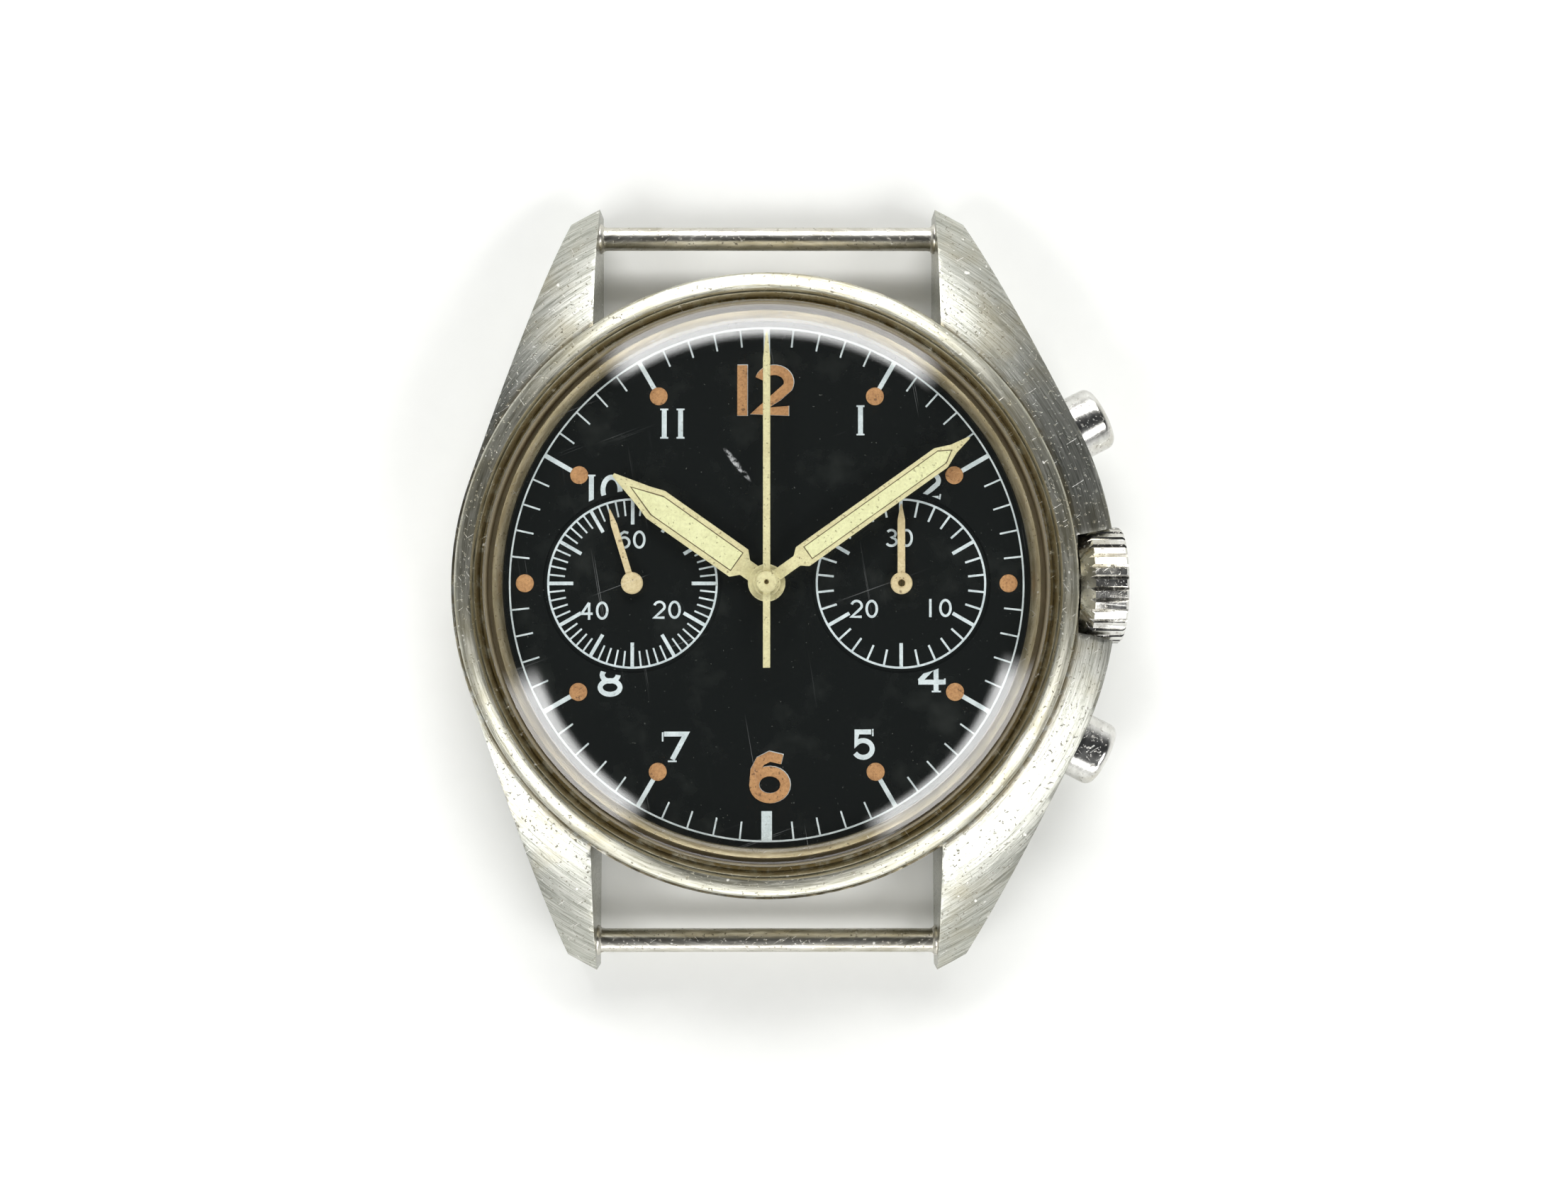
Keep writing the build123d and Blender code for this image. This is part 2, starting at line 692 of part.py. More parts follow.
with BuildPart() as pallet_fork:
    add(stack(pallet_at, [
        (4.6, 5.2, disc_face(0.12)),
        (5.2, 5.4, disc_face(0.35)),
        (5.4, 6.6, disc_face(0.12)),
    ]))
    with BuildSketch(Plane.XY.offset(5.2)):
        fork_tip = (balance_at[0] - 0.6, balance_at[1] + 1.04)
        add(bar_face(pallet_at, fork_tip, 0.3))
    extrude(amount=0.2)

with BuildPart() as balance_wheel:
    with BuildSketch(Plane((*balance_at, 3.75))):
        Circle(4.0)
        Circle(3.5, mode=Mode.SUBTRACT)
        Circle(0.6)
        Rectangle(7.4, 0.6)
    extrude(amount=0.35)
    add(stack(balance_at, [
        (2.6, 3.75, disc_face(0.15)),
        (4.1, 6.6, disc_face(0.15)),
        (5.0, 5.12, disc_face(0.6)),
    ]))

with BuildPart() as hairspring:
    add(stack(balance_at, [(3.32, 3.5, spiral_face(0.5, 2.4, 8, 0.08))]))

# ---------------------------------------------------------------- chronograph works
with BuildPart() as chronograph_wheel:
    add(stack(centre_at, [
        (1.2, 1.7, disc_face(0.13)),
        (1.7, 1.95, disc_face(0.9)),
        (1.95, 2.05, disc_face(0.4)),
        (2.05, 2.2, spoked_face(58, 0.1, 0.4, 0.7, 5, 153.7 + 3.1)),
        (2.2, 9.95, disc_face(0.13)),
    ]))

with BuildPart() as coupling_wheel:
    add(stack(coupling_at, [
        (1.65, 2.05, disc_face(0.15)),
        (2.05, 2.2, gear_face(24, 0.1, 209.43 + 7.5)),
    ]))

with BuildPart() as clutch_lever:
    with BuildSketch(Plane.XY.offset(1.6)):
        add(bar_face(fourth_at, coupling_at, 1.0))
        add(bar_face(coupling_at, (-1.5, 5.6), 0.7))
        add(holes([(*fourth_at, 0.2), (*coupling_at, 0.2)]), mode=Mode.SUBTRACT)
    extrude(amount=0.3)

with BuildPart() as minute_counter_wheel:
    add(stack(counter_at, [
        (1.2, 1.7, disc_face(0.2)),
        (1.7, 1.95, disc_face(0.9)),
        (1.95, 2.05, disc_face(0.4)),
        (2.05, 2.2, gear_face(38, 0.1, 191.0)),
        (2.2, 8.4, disc_face(0.2)),
    ]))

with BuildPart() as counter_idler:
    add(stack(counter_idler_at, [
        (1.2, 2.05, disc_face(0.15)),
        (2.05, 2.2, gear_face(26, 0.1, 11.0 + 6.9)),
    ]))

hammer_plane = Plane((0, 0, 1.7), x_dir=(*polar(1, -pusher_angle), 0), z_dir=(0, 0, 1))
with BuildPart() as reset_hammer:
    with BuildSketch(hammer_plane):
        with Locations((6.9, -0.2)):
            Rectangle(9.0, 1.2)
        with Locations((10.3, 3.4)):
            Rectangle(2.2, 1.6)
        with Locations((10.9, 1.6)):
            Rectangle(1.0, 4.8)
        with Locations((12.7, 0)):
            Rectangle(3.6, 1.0)
    extrude(amount=0.25)
    with BuildSketch(hammer_plane):
        with Locations((14.3, 0)):
            Rectangle(0.4, 1.0)
    extrude(amount=3.9)

lever_plane = Plane((0, 0, 1.7), x_dir=(*polar(1, pusher_angle), 0), z_dir=(0, 0, 1))
with BuildPart() as operating_lever:
    with BuildSketch(lever_plane):
        with Locations((12.2, 0)):
            Rectangle(4.6, 1.0)
        with Locations((10.3, 2.1)):
            Rectangle(1.0, 4.6)
    extrude(amount=0.25)
    with BuildSketch(lever_plane):
        with Locations((14.3, 0)):
            Rectangle(0.4, 1.0)
    extrude(amount=3.9)

with BuildPart() as column_wheel:
    add(stack(column_wheel_at, [(2.1, 2.45, gear_face(12, 0.19)), (2.45, 2.5, disc_face(0.25))]))
    with BuildSketch(Plane((*column_wheel_at, 1.6))):
        with PolarLocations(0.72, 6):
            Circle(0.2)
    extrude(amount=0.5)


# ---------------------------------------------------------------- hands
def hand(at, angle, bottom, thickness, widths, boss, boss_height, hole):
    with BuildPart() as piece:
        with BuildSketch(Plane((at[0], at[1], bottom))):
            add(hand_face(angle, widths, boss, hole))
        extrude(amount=thickness)
        with BuildSketch(Plane((at[0], at[1], bottom - 0.04))):
            Circle(boss)
            Circle(hole, mode=Mode.SUBTRACT)
        extrude(amount=boss_height)
    return piece


hour_hand = hand(
    centre_at, hour_angle, hour_hand_z, 0.17,
    [(0, 0.5), (1.1, 0.5), (1.93, 0.94), (7.7, 0.94), (8.6, 0.64), (10.65, 0.1)],
    1.06, 0.3, 0.79,
)
minute_hand = hand(
    centre_at, minute_angle, minute_hand_z, 0.17,
    [(0, 0.33), (1.0, 0.33), (2.5, 0.66), (12.1, 0.66), (13.0, 0.28), (14.1, 0.03)],
    0.78, 0.3, 0.56,
)
chrono_seconds_hand = hand(
    centre_at, chrono_angle, chrono_hand_z, 0.14,
    [(-4.8, 0.2), (12.6, 0.2), (14.35, 0.05)],
    0.6, 0.5, 0.14,
)
small_seconds_hand = hand(
    fourth_at, small_seconds_angle, sub_hand_z, 0.12,
    [(0, 0.2), (3.7, 0.17), (4.4, 0.03)],
    0.62, 0.26, 0.21,
)
minute_recorder_hand = hand(
    counter_at, recorder_angle, sub_hand_z, 0.12,
    [(0, 0.22), (3.85, 0.21), (4.5, 0.03)],
    0.62, 0.26, 0.21,
)

# ---------------------------------------------------------------- write every piece
pieces = {
    "mid_case": mid_case,
    "bezel": bezel,
    "crystal": crystal,
    "tension_ring": tension_ring,
    "case_back": case_back,
    "back_gasket": back_gasket,
    "strap_bar_12": strap_bar_12,
    "strap_bar_6": strap_bar_6,
    "crown_tube": crown_tube,
    "pusher_tube_start": pusher_tube_start,
    "pusher_tube_reset": pusher_tube_reset,
    "movement_ring": movement_ring,
    "dial": dial,
    "main_plate": main_plate,
    "barrel_bridge": barrel_bridge,
    "train_bridge": train_bridge,
    "balance_cock": balance_cock,
    "pallet_cock": pallet_cock,
    "chronograph_bridge": chronograph_bridge,
    "jewels": jewels,
    "bridge_screws": bridge_screws,
    "crown_gasket": crown_gasket,
    "crown": crown,
    "winding_stem": winding_stem,
    "yoke": yoke,
    "sliding_clutch": sliding_clutch,
    "winding_pinion": winding_pinion,
    "setting_lever": setting_lever,
    "crown_wheel": crown_wheel,
    "ratchet_wheel": ratchet_wheel,
    "click": click,
    "barrel": barrel,
    "mainspring": mainspring,
    "centre_wheel": centre_wheel,
    "cannon_pinion": cannon_pinion,
    "minute_hand": minute_hand,
    "hour_wheel": hour_wheel,
    "hour_hand": hour_hand,
    "minute_wheel": minute_wheel,
    "setting_wheel": setting_wheel,
    "third_wheel": third_wheel,
    "fourth_wheel": fourth_wheel,
    "small_seconds_hand": small_seconds_hand,
    "escape_wheel": escape_wheel,
    "pallet_fork": pallet_fork,
    "balance_wheel": balance_wheel,
    "hairspring": hairspring,
    "clutch_lever": clutch_lever,
    "coupling_wheel": coupling_wheel,
    "chronograph_wheel": chronograph_wheel,
    "chrono_seconds_hand": chrono_seconds_hand,
    "minute_counter_wheel": minute_counter_wheel,
    "minute_recorder_hand": minute_recorder_hand,
    "counter_idler": counter_idler,
    "reset_hammer": reset_hammer,
    "column_wheel": column_wheel,
    "operating_lever": operating_lever,
    "pusher_start": pusher_start,
    "pusher_reset": pusher_reset,
}
for name, piece in pieces.items():
    piece.part.label = name
    export_step(piece.part, f"parts/{name}.step")
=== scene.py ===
import bpy
import math
from mathutils import Matrix, Vector


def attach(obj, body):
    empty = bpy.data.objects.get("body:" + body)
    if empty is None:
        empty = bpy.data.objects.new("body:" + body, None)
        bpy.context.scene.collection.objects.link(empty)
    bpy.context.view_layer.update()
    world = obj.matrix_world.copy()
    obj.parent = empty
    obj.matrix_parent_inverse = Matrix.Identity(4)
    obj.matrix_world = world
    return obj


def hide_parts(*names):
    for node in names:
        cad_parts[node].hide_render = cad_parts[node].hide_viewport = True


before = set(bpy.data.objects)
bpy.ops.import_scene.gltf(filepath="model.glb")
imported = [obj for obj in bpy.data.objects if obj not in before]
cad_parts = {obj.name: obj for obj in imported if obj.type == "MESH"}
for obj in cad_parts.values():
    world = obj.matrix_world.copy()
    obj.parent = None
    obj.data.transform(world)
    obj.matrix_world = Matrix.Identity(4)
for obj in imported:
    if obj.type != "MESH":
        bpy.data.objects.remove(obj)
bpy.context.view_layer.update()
MM = 0.001


# ---------------------------------------------------------------------------------------------
# Mid case: one forging of stainless steel, turned on its top face, with four lugs. The left half
# is slim; the right half bulges to guard the crown, and is drilled for crown and pushers. The
# turning marks run in circles round the dial; the flanks are plain ground.
STRAP_GAP = 20.0
LUG_TIP_Y = 22.55
LUG_SHOULDER = (11.7, 21.6)
LEFT_RADIUS, LEFT_TANGENT = 18.05, 20.0
GUARD_RADIUS, GUARD_TANGENT = 20.15, 27.3
WALL_RADIUS = 17.95
STEM_HEIGHT, PUSHER_HEIGHT = 5.2, 4.35
NOTCH_RADIUS, NOTCH_X = 3.55, 17.8
PUSHER_ANGLE, PUSHER_RADIUS = 27.0, 1.9
SEAT_FLOOR, SEAT_CLEARANCE = 18.7, 0.08
PAST_CASE = 24.0
SHOULDER_CENTRE, SHOULDER_RADIUS = (14.976, -5.289), 13.027


def polar(radius, degrees):
    """A point at that distance and angle, anticlockwise from three o'clock."""
    angle = math.radians(degrees)
    return (radius * math.cos(angle), radius * math.sin(angle))


def arc(radius, start, end, steps):
    """Points round the dial's centre from start to end, in degrees."""
    return [polar(radius, start + (end - start) * step / steps) for step in range(steps + 1)]


def start_piece(name, vertices, fill="NOTHING"):
    """A ring of vertices to be put in place, as the only thing selected."""
    bpy.ops.object.select_all(action="DESELECT")
    bpy.ops.mesh.primitive_circle_add(vertices=vertices, radius=1.0, fill_type=fill)
    piece = bpy.context.object
    piece.name = name
    piece.data.name = name
    return piece


def in_edit_mode(piece, *steps):
    """Runs edit-mode operators, each given as (operator, settings), on the whole piece."""
    bpy.ops.object.select_all(action="DESELECT")
    piece.select_set(True)
    bpy.context.view_layer.objects.active = piece
    bpy.ops.object.mode_set(mode="EDIT")
    bpy.ops.mesh.select_all(action="SELECT")
    for operator, settings in steps:
        operator(**settings)
    bpy.ops.object.mode_set(mode="OBJECT")


def laid_level(piece, height, heading=0.0):
    """Lays a piece made upright on a level axis at that height, pointing out along heading."""
    lay = Matrix.Rotation(math.radians(heading), 4, "Z") @ Matrix.Rotation(math.pi / 2, 4, "Y")
    piece.data.transform(Matrix.Translation((0, 0, height)) @ lay)
    return piece


def turned(name, profile, steps=192, axis_height=None, heading=0.0):
    """Lathe work: a closed profile of (radius, height) spun round the dial's axis, or, when
    axis_height is given, round a level axis that points outwards along heading."""
    piece = start_piece(name, len(profile))
    for vertex, (radius, height) in zip(piece.data.vertices, profile):
        vertex.co = (radius, 0.0, height)
    full_turn = {"steps": steps, "angle": 2 * math.pi, "center": (0, 0, 0), "axis": (0, 0, 1)}
    in_edit_mode(
        piece,
        (bpy.ops.mesh.spin, full_turn),
        (bpy.ops.mesh.select_all, {"action": "SELECT"}),
        (bpy.ops.mesh.remove_doubles, {"threshold": 0.0005}),
        (bpy.ops.mesh.normals_make_consistent, {"inside": False}),
    )
    if axis_height is not None:
        laid_level(piece, axis_height, heading)
    return piece


def rod(radius, bottom, top):
    """The profile of a plain rod, as used to bore a round hole."""
    return [(0, bottom), (radius, bottom), (radius, top), (0, top)]


def plate(name, outline, bottom, thickness):
    """Sheet work: an outline of (x, y) cut out of sheet of that thickness."""
    piece = start_piece(name, len(outline), fill="NGON")
    for vertex, (x, y) in zip(piece.data.vertices, outline):
        vertex.co = (x, y, bottom)
    in_edit_mode(
        piece,
        (bpy.ops.mesh.extrude_region_move, {"TRANSFORM_OT_translate": {"value": (0, 0, thickness)}}),
        (bpy.ops.mesh.select_all, {"action": "SELECT"}),
        (bpy.ops.mesh.normals_make_consistent, {"inside": False}),
    )
    return piece


def cut(piece, tool, operation="DIFFERENCE"):
    """Takes the tool's shape out of the piece, or keeps only what lies within it."""
    modifier = piece.modifiers.new("cut", "BOOLEAN")
    modifier.operation = operation
    modifier.solver = "EXACT"
    modifier.object = tool
    bpy.context.view_layer.objects.active = piece
    bpy.ops.object.modifier_apply(modifier=modifier.name)
    bpy.data.objects.remove(tool, do_unlink=True)


def eased(piece, width, segments=2, angle=32.0):
    """Breaks every sharp edge by a small round."""
    modifier = piece.modifiers.new("eased", "BEVEL")
    modifier.width = width
    modifier.segments = segments
    modifier.limit_method = "ANGLE"
    modifier.angle_limit = math.radians(angle)
    modifier.use_clamp_overlap = True
    bpy.context.view_layer.objects.active = piece
    bpy.ops.object.modifier_apply(modifier=modifier.name)


def finished(piece, body, material, smooth=35.0, replaces=()):
    """Brings a piece worked in millimetres to size, shades it and fixes it to its body."""
    piece.data.transform(Matrix.Scale(MM, 4))
    bpy.ops.object.select_all(action="DESELECT")
    piece.select_set(True)
    bpy.context.view_layer.objects.active = piece
    bpy.ops.object.shade_smooth_by_angle(angle=math.radians(smooth))
    piece.data.materials.clear()
    piece.data.materials.append(material)
    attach(piece, body)
    for node in replaces:
        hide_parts(node)
    return piece


class Wire:
    """A node socket that takes part in sums."""

    def __init__(self, tree, socket=None):
        self.tree = tree
        self.socket = socket

    def node(self, kind, settings=None, inputs=None, output=0):
        """A new node with its settings, then its sockets, filled in; gives one of its outputs."""
        made = self.tree.nodes.new(kind)
        for name, value in (settings or {}).items():
            setattr(made, name, value)
        for name, value in (inputs or {}).items():
            if isinstance(value, Wire):
                self.tree.links.new(value.socket, made.inputs[name])
            else:
                made.inputs[name].default_value = value
        return Wire(self.tree, made.outputs[output])

    def maths(self, operation, *values):
        return self.node("ShaderNodeMath", {"operation": operation}, dict(enumerate(values)))

    def __add__(self, other):
        return self.maths("ADD", self, other)

    def __sub__(self, other):
        return self.maths("SUBTRACT", self, other)

    def __rsub__(self, other):
        return self.maths("SUBTRACT", other, self)

    def __mul__(self, other):
        return self.maths("MULTIPLY", self, other)

    __radd__ = __add__
    __rmul__ = __mul__

    def over(self, low, high):
        """0 below low, 1 above high, smooth between; low may be the larger."""
        settings = {"interpolation_type": "SMOOTHSTEP"}
        return self.node("ShaderNodeMapRange", settings, {"Value": self, 1: low, 2: high})

    def mixed(self, first, second):
        """This wire as a mask between two colours."""
        return self.node("ShaderNodeMix", {"data_type": "RGBA"}, {0: self, 6: first, 7: second}, 2)

    def noise(self, scale, detail=2.0, roughness=0.5):
        inputs = {"Vector": self, "Scale": scale, "Detail": detail, "Roughness": roughness}
        return self.node("ShaderNodeTexNoise", {}, inputs)

    def parts(self):
        return [self.node("ShaderNodeSeparateXYZ", {}, {0: self}, axis) for axis in range(3)]

    def joined(self, *values):
        return self.node("ShaderNodeCombineXYZ", {}, dict(enumerate(values)))

    def feeds(self, shader, name):
        self.tree.links.new(self.socket, shader.inputs[name])


def new_material(name, roughness=0.4, metallic=0.0, coat=0.0, ior=1.5):
    """A material, its shader, and the place on the piece in millimetres."""
    material = bpy.data.materials.new(name)
    material.use_nodes = True
    tree = material.node_tree
    shader = tree.nodes["Principled BSDF"]
    shader.inputs["Roughness"].default_value = roughness
    shader.inputs["Metallic"].default_value = metallic
    shader.inputs["Coat Weight"].default_value = coat
    shader.inputs["IOR"].default_value = ior
    place = Wire(tree).node("ShaderNodeTexCoord", output="Object")
    place = place.node("ShaderNodeVectorMath", {"operation": "SCALE"}, {0: place, "Scale": 1000.0})
    return material, shader, place


def bump(height, strength, distance):
    """Surface relief from a height, its depth in metres."""
    inputs = {"Height": height, "Strength": strength, "Distance": distance}
    return height.node("ShaderNodeBump", {}, inputs)


def turned_steel(name, light, dark, roughness, grain, dirt=None, tarnish=(0.30, 0.26, 0.15, 1)):
    """Stainless steel with circular turning marks, fine handling scratches, pits and old dirt."""
    material, shader, place = new_material(name, metallic=1.0)
    x, y, z = place.parts()
    radius = (x * x + y * y).maths("SQRT", x * x + y * y)
    angle = x.maths("ARCTAN2", y, x)
    marks = place.joined(radius * grain, angle * 8.0, z * grain * 0.5).noise(1.0, 3.0, 0.75)
    coarse = place.joined(radius * grain * 0.4, angle * 5.0, z * 2.0).noise(1.0, 2.0, 0.5)
    cloud = place.noise(0.25, 3.0, 0.6)
    scratch_a = place.joined(x * 0.7 + y * 0.5, x * 8.0 - y * 12.0, z).noise(1.0, 1.0, 0.4).over(0.73, 0.77)
    scratch_b = place.joined(x * 0.6 - y * 0.9, x * 13.0 + y * 9.0, z).noise(1.0, 1.0, 0.4).over(0.74, 0.78)
    scratches = scratch_a.maths("MAXIMUM", scratch_a, scratch_b)
    nicks = place.noise(2.6, 1.0, 0.5).over(0.74, 0.77)
    pits = place.noise(5.5, 2.0, 0.5).over(0.63, 0.7)
    colour = (marks * 0.76 + coarse * 0.24).over(0.34, 0.66).mixed(dark, light)
    colour = (cloud.over(0.48, 0.7) * 0.4).mixed(colour, tarnish)
    if dirt is not None:
        near, far = dirt
        grime = radius.over(far, near) * place.noise(1.4, 3.0, 0.6).over(0.3, 0.55)
        colour = (grime * 0.85).mixed(colour, (0.20, 0.15, 0.055, 1))
    colour = (scratches.maths("MAXIMUM", scratches, nicks) * 0.7).mixed(colour, (0.85, 0.84, 0.80, 1))
    colour = (pits * 0.55).mixed(colour, (0.12, 0.10, 0.06, 1))
    colour.feeds(shader, "Base Color")
    rough = marks * 0.2 + (roughness - 0.1) + pits * 0.2 + nicks * 0.2 + cloud * 0.06
    rough.feeds(shader, "Roughness")
    height = marks * 0.7 + coarse * 0.3 - scratches * 0.5 - pits * 0.7
    bump(height, 0.6, 0.00002).feeds(shader, "Normal")
    return material


case_steel = turned_steel(
    "turned_case_steel", (0.57, 0.57, 0.52, 1), (0.27, 0.275, 0.235, 1), 0.28, 14.0, dirt=(17.7, 18.4)
)


def shoulder_height(radius):
    """Height of the case's rounded top at that distance from the middle."""
    return SHOULDER_CENTRE[1] + math.sqrt(SHOULDER_RADIUS**2 - (radius - SHOULDER_CENTRE[0]) ** 2)


case_profile = [(15.85, 1.8), (15.85, 8.15), (16.5, 8.15), (16.5, 7.4), (17.7, 7.4)]
shoulder = [WALL_RADIUS + 0.25 * step for step in range(28)]
case_profile += [(radius, shoulder_height(radius)) for radius in shoulder]
case_profile += [(24.9, 1.0), (21.0, 0.8), (17.0, 0.6), (15.95, 0.6), (15.95, 1.8)]
mid_case = turned("turned_case", case_profile, steps=288)

half = STRAP_GAP / 2
lug_root = math.degrees(math.asin(half / WALL_RADIUS))
lug_x, lug_y = LUG_SHOULDER
plan = [(half, LUG_TIP_Y), *arc(WALL_RADIUS, 90 - lug_root, 90 + lug_root, 40), (-half, LUG_TIP_Y)]
plan += [(-lug_x, lug_y), *arc(LEFT_RADIUS, 180 - LEFT_TANGENT, 180 + LEFT_TANGENT, 24), (-lug_x, -lug_y)]
plan += [(-half, -LUG_TIP_Y), *arc(WALL_RADIUS, 270 - lug_root, 270 + lug_root, 40), (half, -LUG_TIP_Y)]
plan += [(lug_x, -lug_y), *arc(GUARD_RADIUS, -GUARD_TANGENT, GUARD_TANGENT, 40), (lug_x, lug_y)]
cut(mid_case, plate("plan", plan, -1.0, 11.0), "INTERSECT")
cut(mid_case, turned("notch", rod(NOTCH_RADIUS, NOTCH_X, PAST_CASE), 96, STEM_HEIGHT))
for side in (1, -1):
    seat = rod(PUSHER_RADIUS + SEAT_CLEARANCE, SEAT_FLOOR, PAST_CASE)
    cut(mid_case, turned("seat", seat, 64, PUSHER_HEIGHT, side * PUSHER_ANGLE))
eased(mid_case, 0.08, 3, 30)
finished(mid_case, "case", case_steel, 28, ["mid_case"])

# ---------------------------------------------------------------------------------------------
# Bezel: a steel ring snapped over the case's collar. Its flat top is turned, its inner lip is
# bevelled down to the crystal, and old dirt sits in the groove between them.
bezel_steel = turned_steel(
    "turned_bezel_steel", (0.60, 0.59, 0.51, 1), (0.33, 0.32, 0.25, 1), 0.30, 9.0, dirt=(16.1, 16.65)
)
bezel_profile = [
    (15.95, 8.3), (15.95, 8.6), (16.02, 8.72), (16.18, 8.76), (16.24, 8.72), (16.3, 8.78), (16.42, 9.08),
    (16.48, 9.12), (16.54, 9.08), (16.6, 9.18), (16.68, 9.26), (16.9, 9.24), (17.5, 9.02), (17.6, 8.95),
    (17.64, 8.85), (17.64, 7.75), (17.6, 7.6), (17.5, 7.46), (16.55, 7.46), (16.55, 8.3),
]
bezel = turned("snapped_bezel", bezel_profile, steps=288)
finished(bezel, "case", bezel_steel, 40, ["bezel"])

# ---------------------------------------------------------------------------------------------
# Crystal: a high dome of moulded acrylic, pressed into the bezel. It is clear, picks up the room
# along its rim, and carries fine scratches from wear and one rough gouge above the hands.
DOME_RADIUS, DOME_STEPS = 53.0, 16
DOME_TOP, DOME_UNDERSIDE = 13.0, 11.9
FOOT_TOP, FOOT_RADIUS = 10.3, 15.35
GOUGE_X, GOUGE_Y = -1.6, 6.3


def dome(radius, top, edge):
    """Half a dome's section from its edge in to its top."""
    section = []
    for step in range(DOME_STEPS + 1):
        reach = edge * (1 - (step / DOME_STEPS) ** 1.5)
        section.append((reach, top - radius + math.sqrt(radius**2 - reach**2)))
    return section


crystal_profile = [(15.84, 8.0), (15.84, 10.25), (15.8, 10.42), (15.7, 10.58)]
crystal_profile += dome(DOME_RADIUS, DOME_TOP, 15.5) + dome(DOME_RADIUS, DOME_UNDERSIDE, 15.0)[::-1]
crystal_profile += [(15.4, 9.4), (15.5, 9.0), (15.5, 8.0)]
crystal = turned("domed_crystal", crystal_profile, steps=224)


def clear_material(name):
    """Clear plastic: see-through, mirroring more at a glance, scuffed, and stained at its foot."""
    material, shader, place = new_material(name)
    tree = material.node_tree
    x, y, z = place.parts()
    scratch_a = place.joined(x * 0.09 + y * 0.03, x * 4.0 - y * 11.0, z * 0.1).noise(1.0, 1.0, 0.4)
    scratch_b = place.joined(y * 0.08 - x * 0.03, x * 12.0 + y * 2.0, z * 0.1).noise(1.0, 1.0, 0.4)
    scratches = scratch_a.maths("MAXIMUM", scratch_a.over(0.765, 0.79), scratch_b.over(0.75, 0.775))
    scratches = scratches * place.noise(0.12, 2.0, 0.5).over(0.42, 0.62) * 0.16
    aside, above = x - GOUGE_X, y - GOUGE_Y
    along, across = aside * 0.62 - above * 0.78, aside * 0.78 + above * 0.62
    gouge = (along * along * 0.6 + across * across * 30.0).over(1.0, 0.3)
    gouge = gouge * z.over(DOME_UNDERSIDE, DOME_UNDERSIDE + 0.3)
    gouge = gouge * place.noise(2.5, 3.0, 0.6).over(0.38, 0.6) * 0.5
    grazing = place.node("ShaderNodeLayerWeight", {}, {"Blend": 0.5}, 1)
    fresnel = grazing.maths("POWER", grazing, 5.0) * 0.96 + 0.04
    glossy = place.node("ShaderNodeBsdfGlossy", {}, {"Color": (1, 1, 1, 1), "Roughness": 0.03})
    clear = place.node("ShaderNodeBsdfTransparent", {}, {"Color": (0.985, 0.99, 0.985, 1)})
    scuff = place.node("ShaderNodeBsdfDiffuse", {}, {"Color": (0.8, 0.82, 0.82, 1)})
    stain = place.node("ShaderNodeBsdfDiffuse", {}, {"Color": (0.50, 0.42, 0.27, 1)})
    wall = (x * x + y * y).over(FOOT_RADIUS**2, 15.6**2) * z.over(FOOT_TOP, FOOT_TOP - 1.0)
    wall = wall * (place.noise(0.5, 2.0, 0.5) * 0.5 + 0.5)
    damage = scratches.maths("MAXIMUM", scratches, gouge)
    shine = place.node("ShaderNodeMixShader", {}, {0: fresnel, 1: clear, 2: glossy})
    foot = place.node("ShaderNodeMixShader", {}, {0: wall, 1: shine, 2: stain})
    whole = place.node("ShaderNodeMixShader", {}, {0: damage, 1: foot, 2: scuff})
    tree.links.new(whole.socket, tree.nodes["Material Output"].inputs["Surface"])
    tree.nodes.remove(shader)
    return material


finished(crystal, "case", clear_material("clear_acrylic"), 50, ["crystal"])

# ---------------------------------------------------------------------------------------------
# Tension ring: a sloped ring of satin steel inside the crystal's foot, holding it out against the
# bezel. It has gone brown with age, and colours the crystal's rim.
ring_steel = turned_steel("stained_ring_steel", (0.60, 0.52, 0.36, 1), (0.36, 0.29, 0.17, 1), 0.5, 4.0)
ring_profile = [
    (15.02, 7.95), (15.02, 8.3), (15.1, 8.55), (15.3, 8.85), (15.46, 8.95), (15.46, 7.92), (15.06, 7.92),
]
crystal_ring = turned("crystal_ring", ring_profile, 256)
finished(crystal_ring, "case", ring_steel, 35, ["tension_ring"])

# ---------------------------------------------------------------------------------------------
# Dial: a brass disc lacquered black, with two sunk subdials that are turned in fine rings. The
# lacquer is glossy and carries specks of dust and small stains.
SUBDIAL_X, SUBDIAL_RADIUS = 7.65, 5.1
DIAL_RADIUS, DIAL_BOTTOM, DIAL_TOP, SUBDIAL_FLOOR = 15.7, 7.45, 7.9, 7.75
ABOVE_DIAL = 9.0
SMALL_HOLE, CENTRE_HOLE = 0.3, 0.95


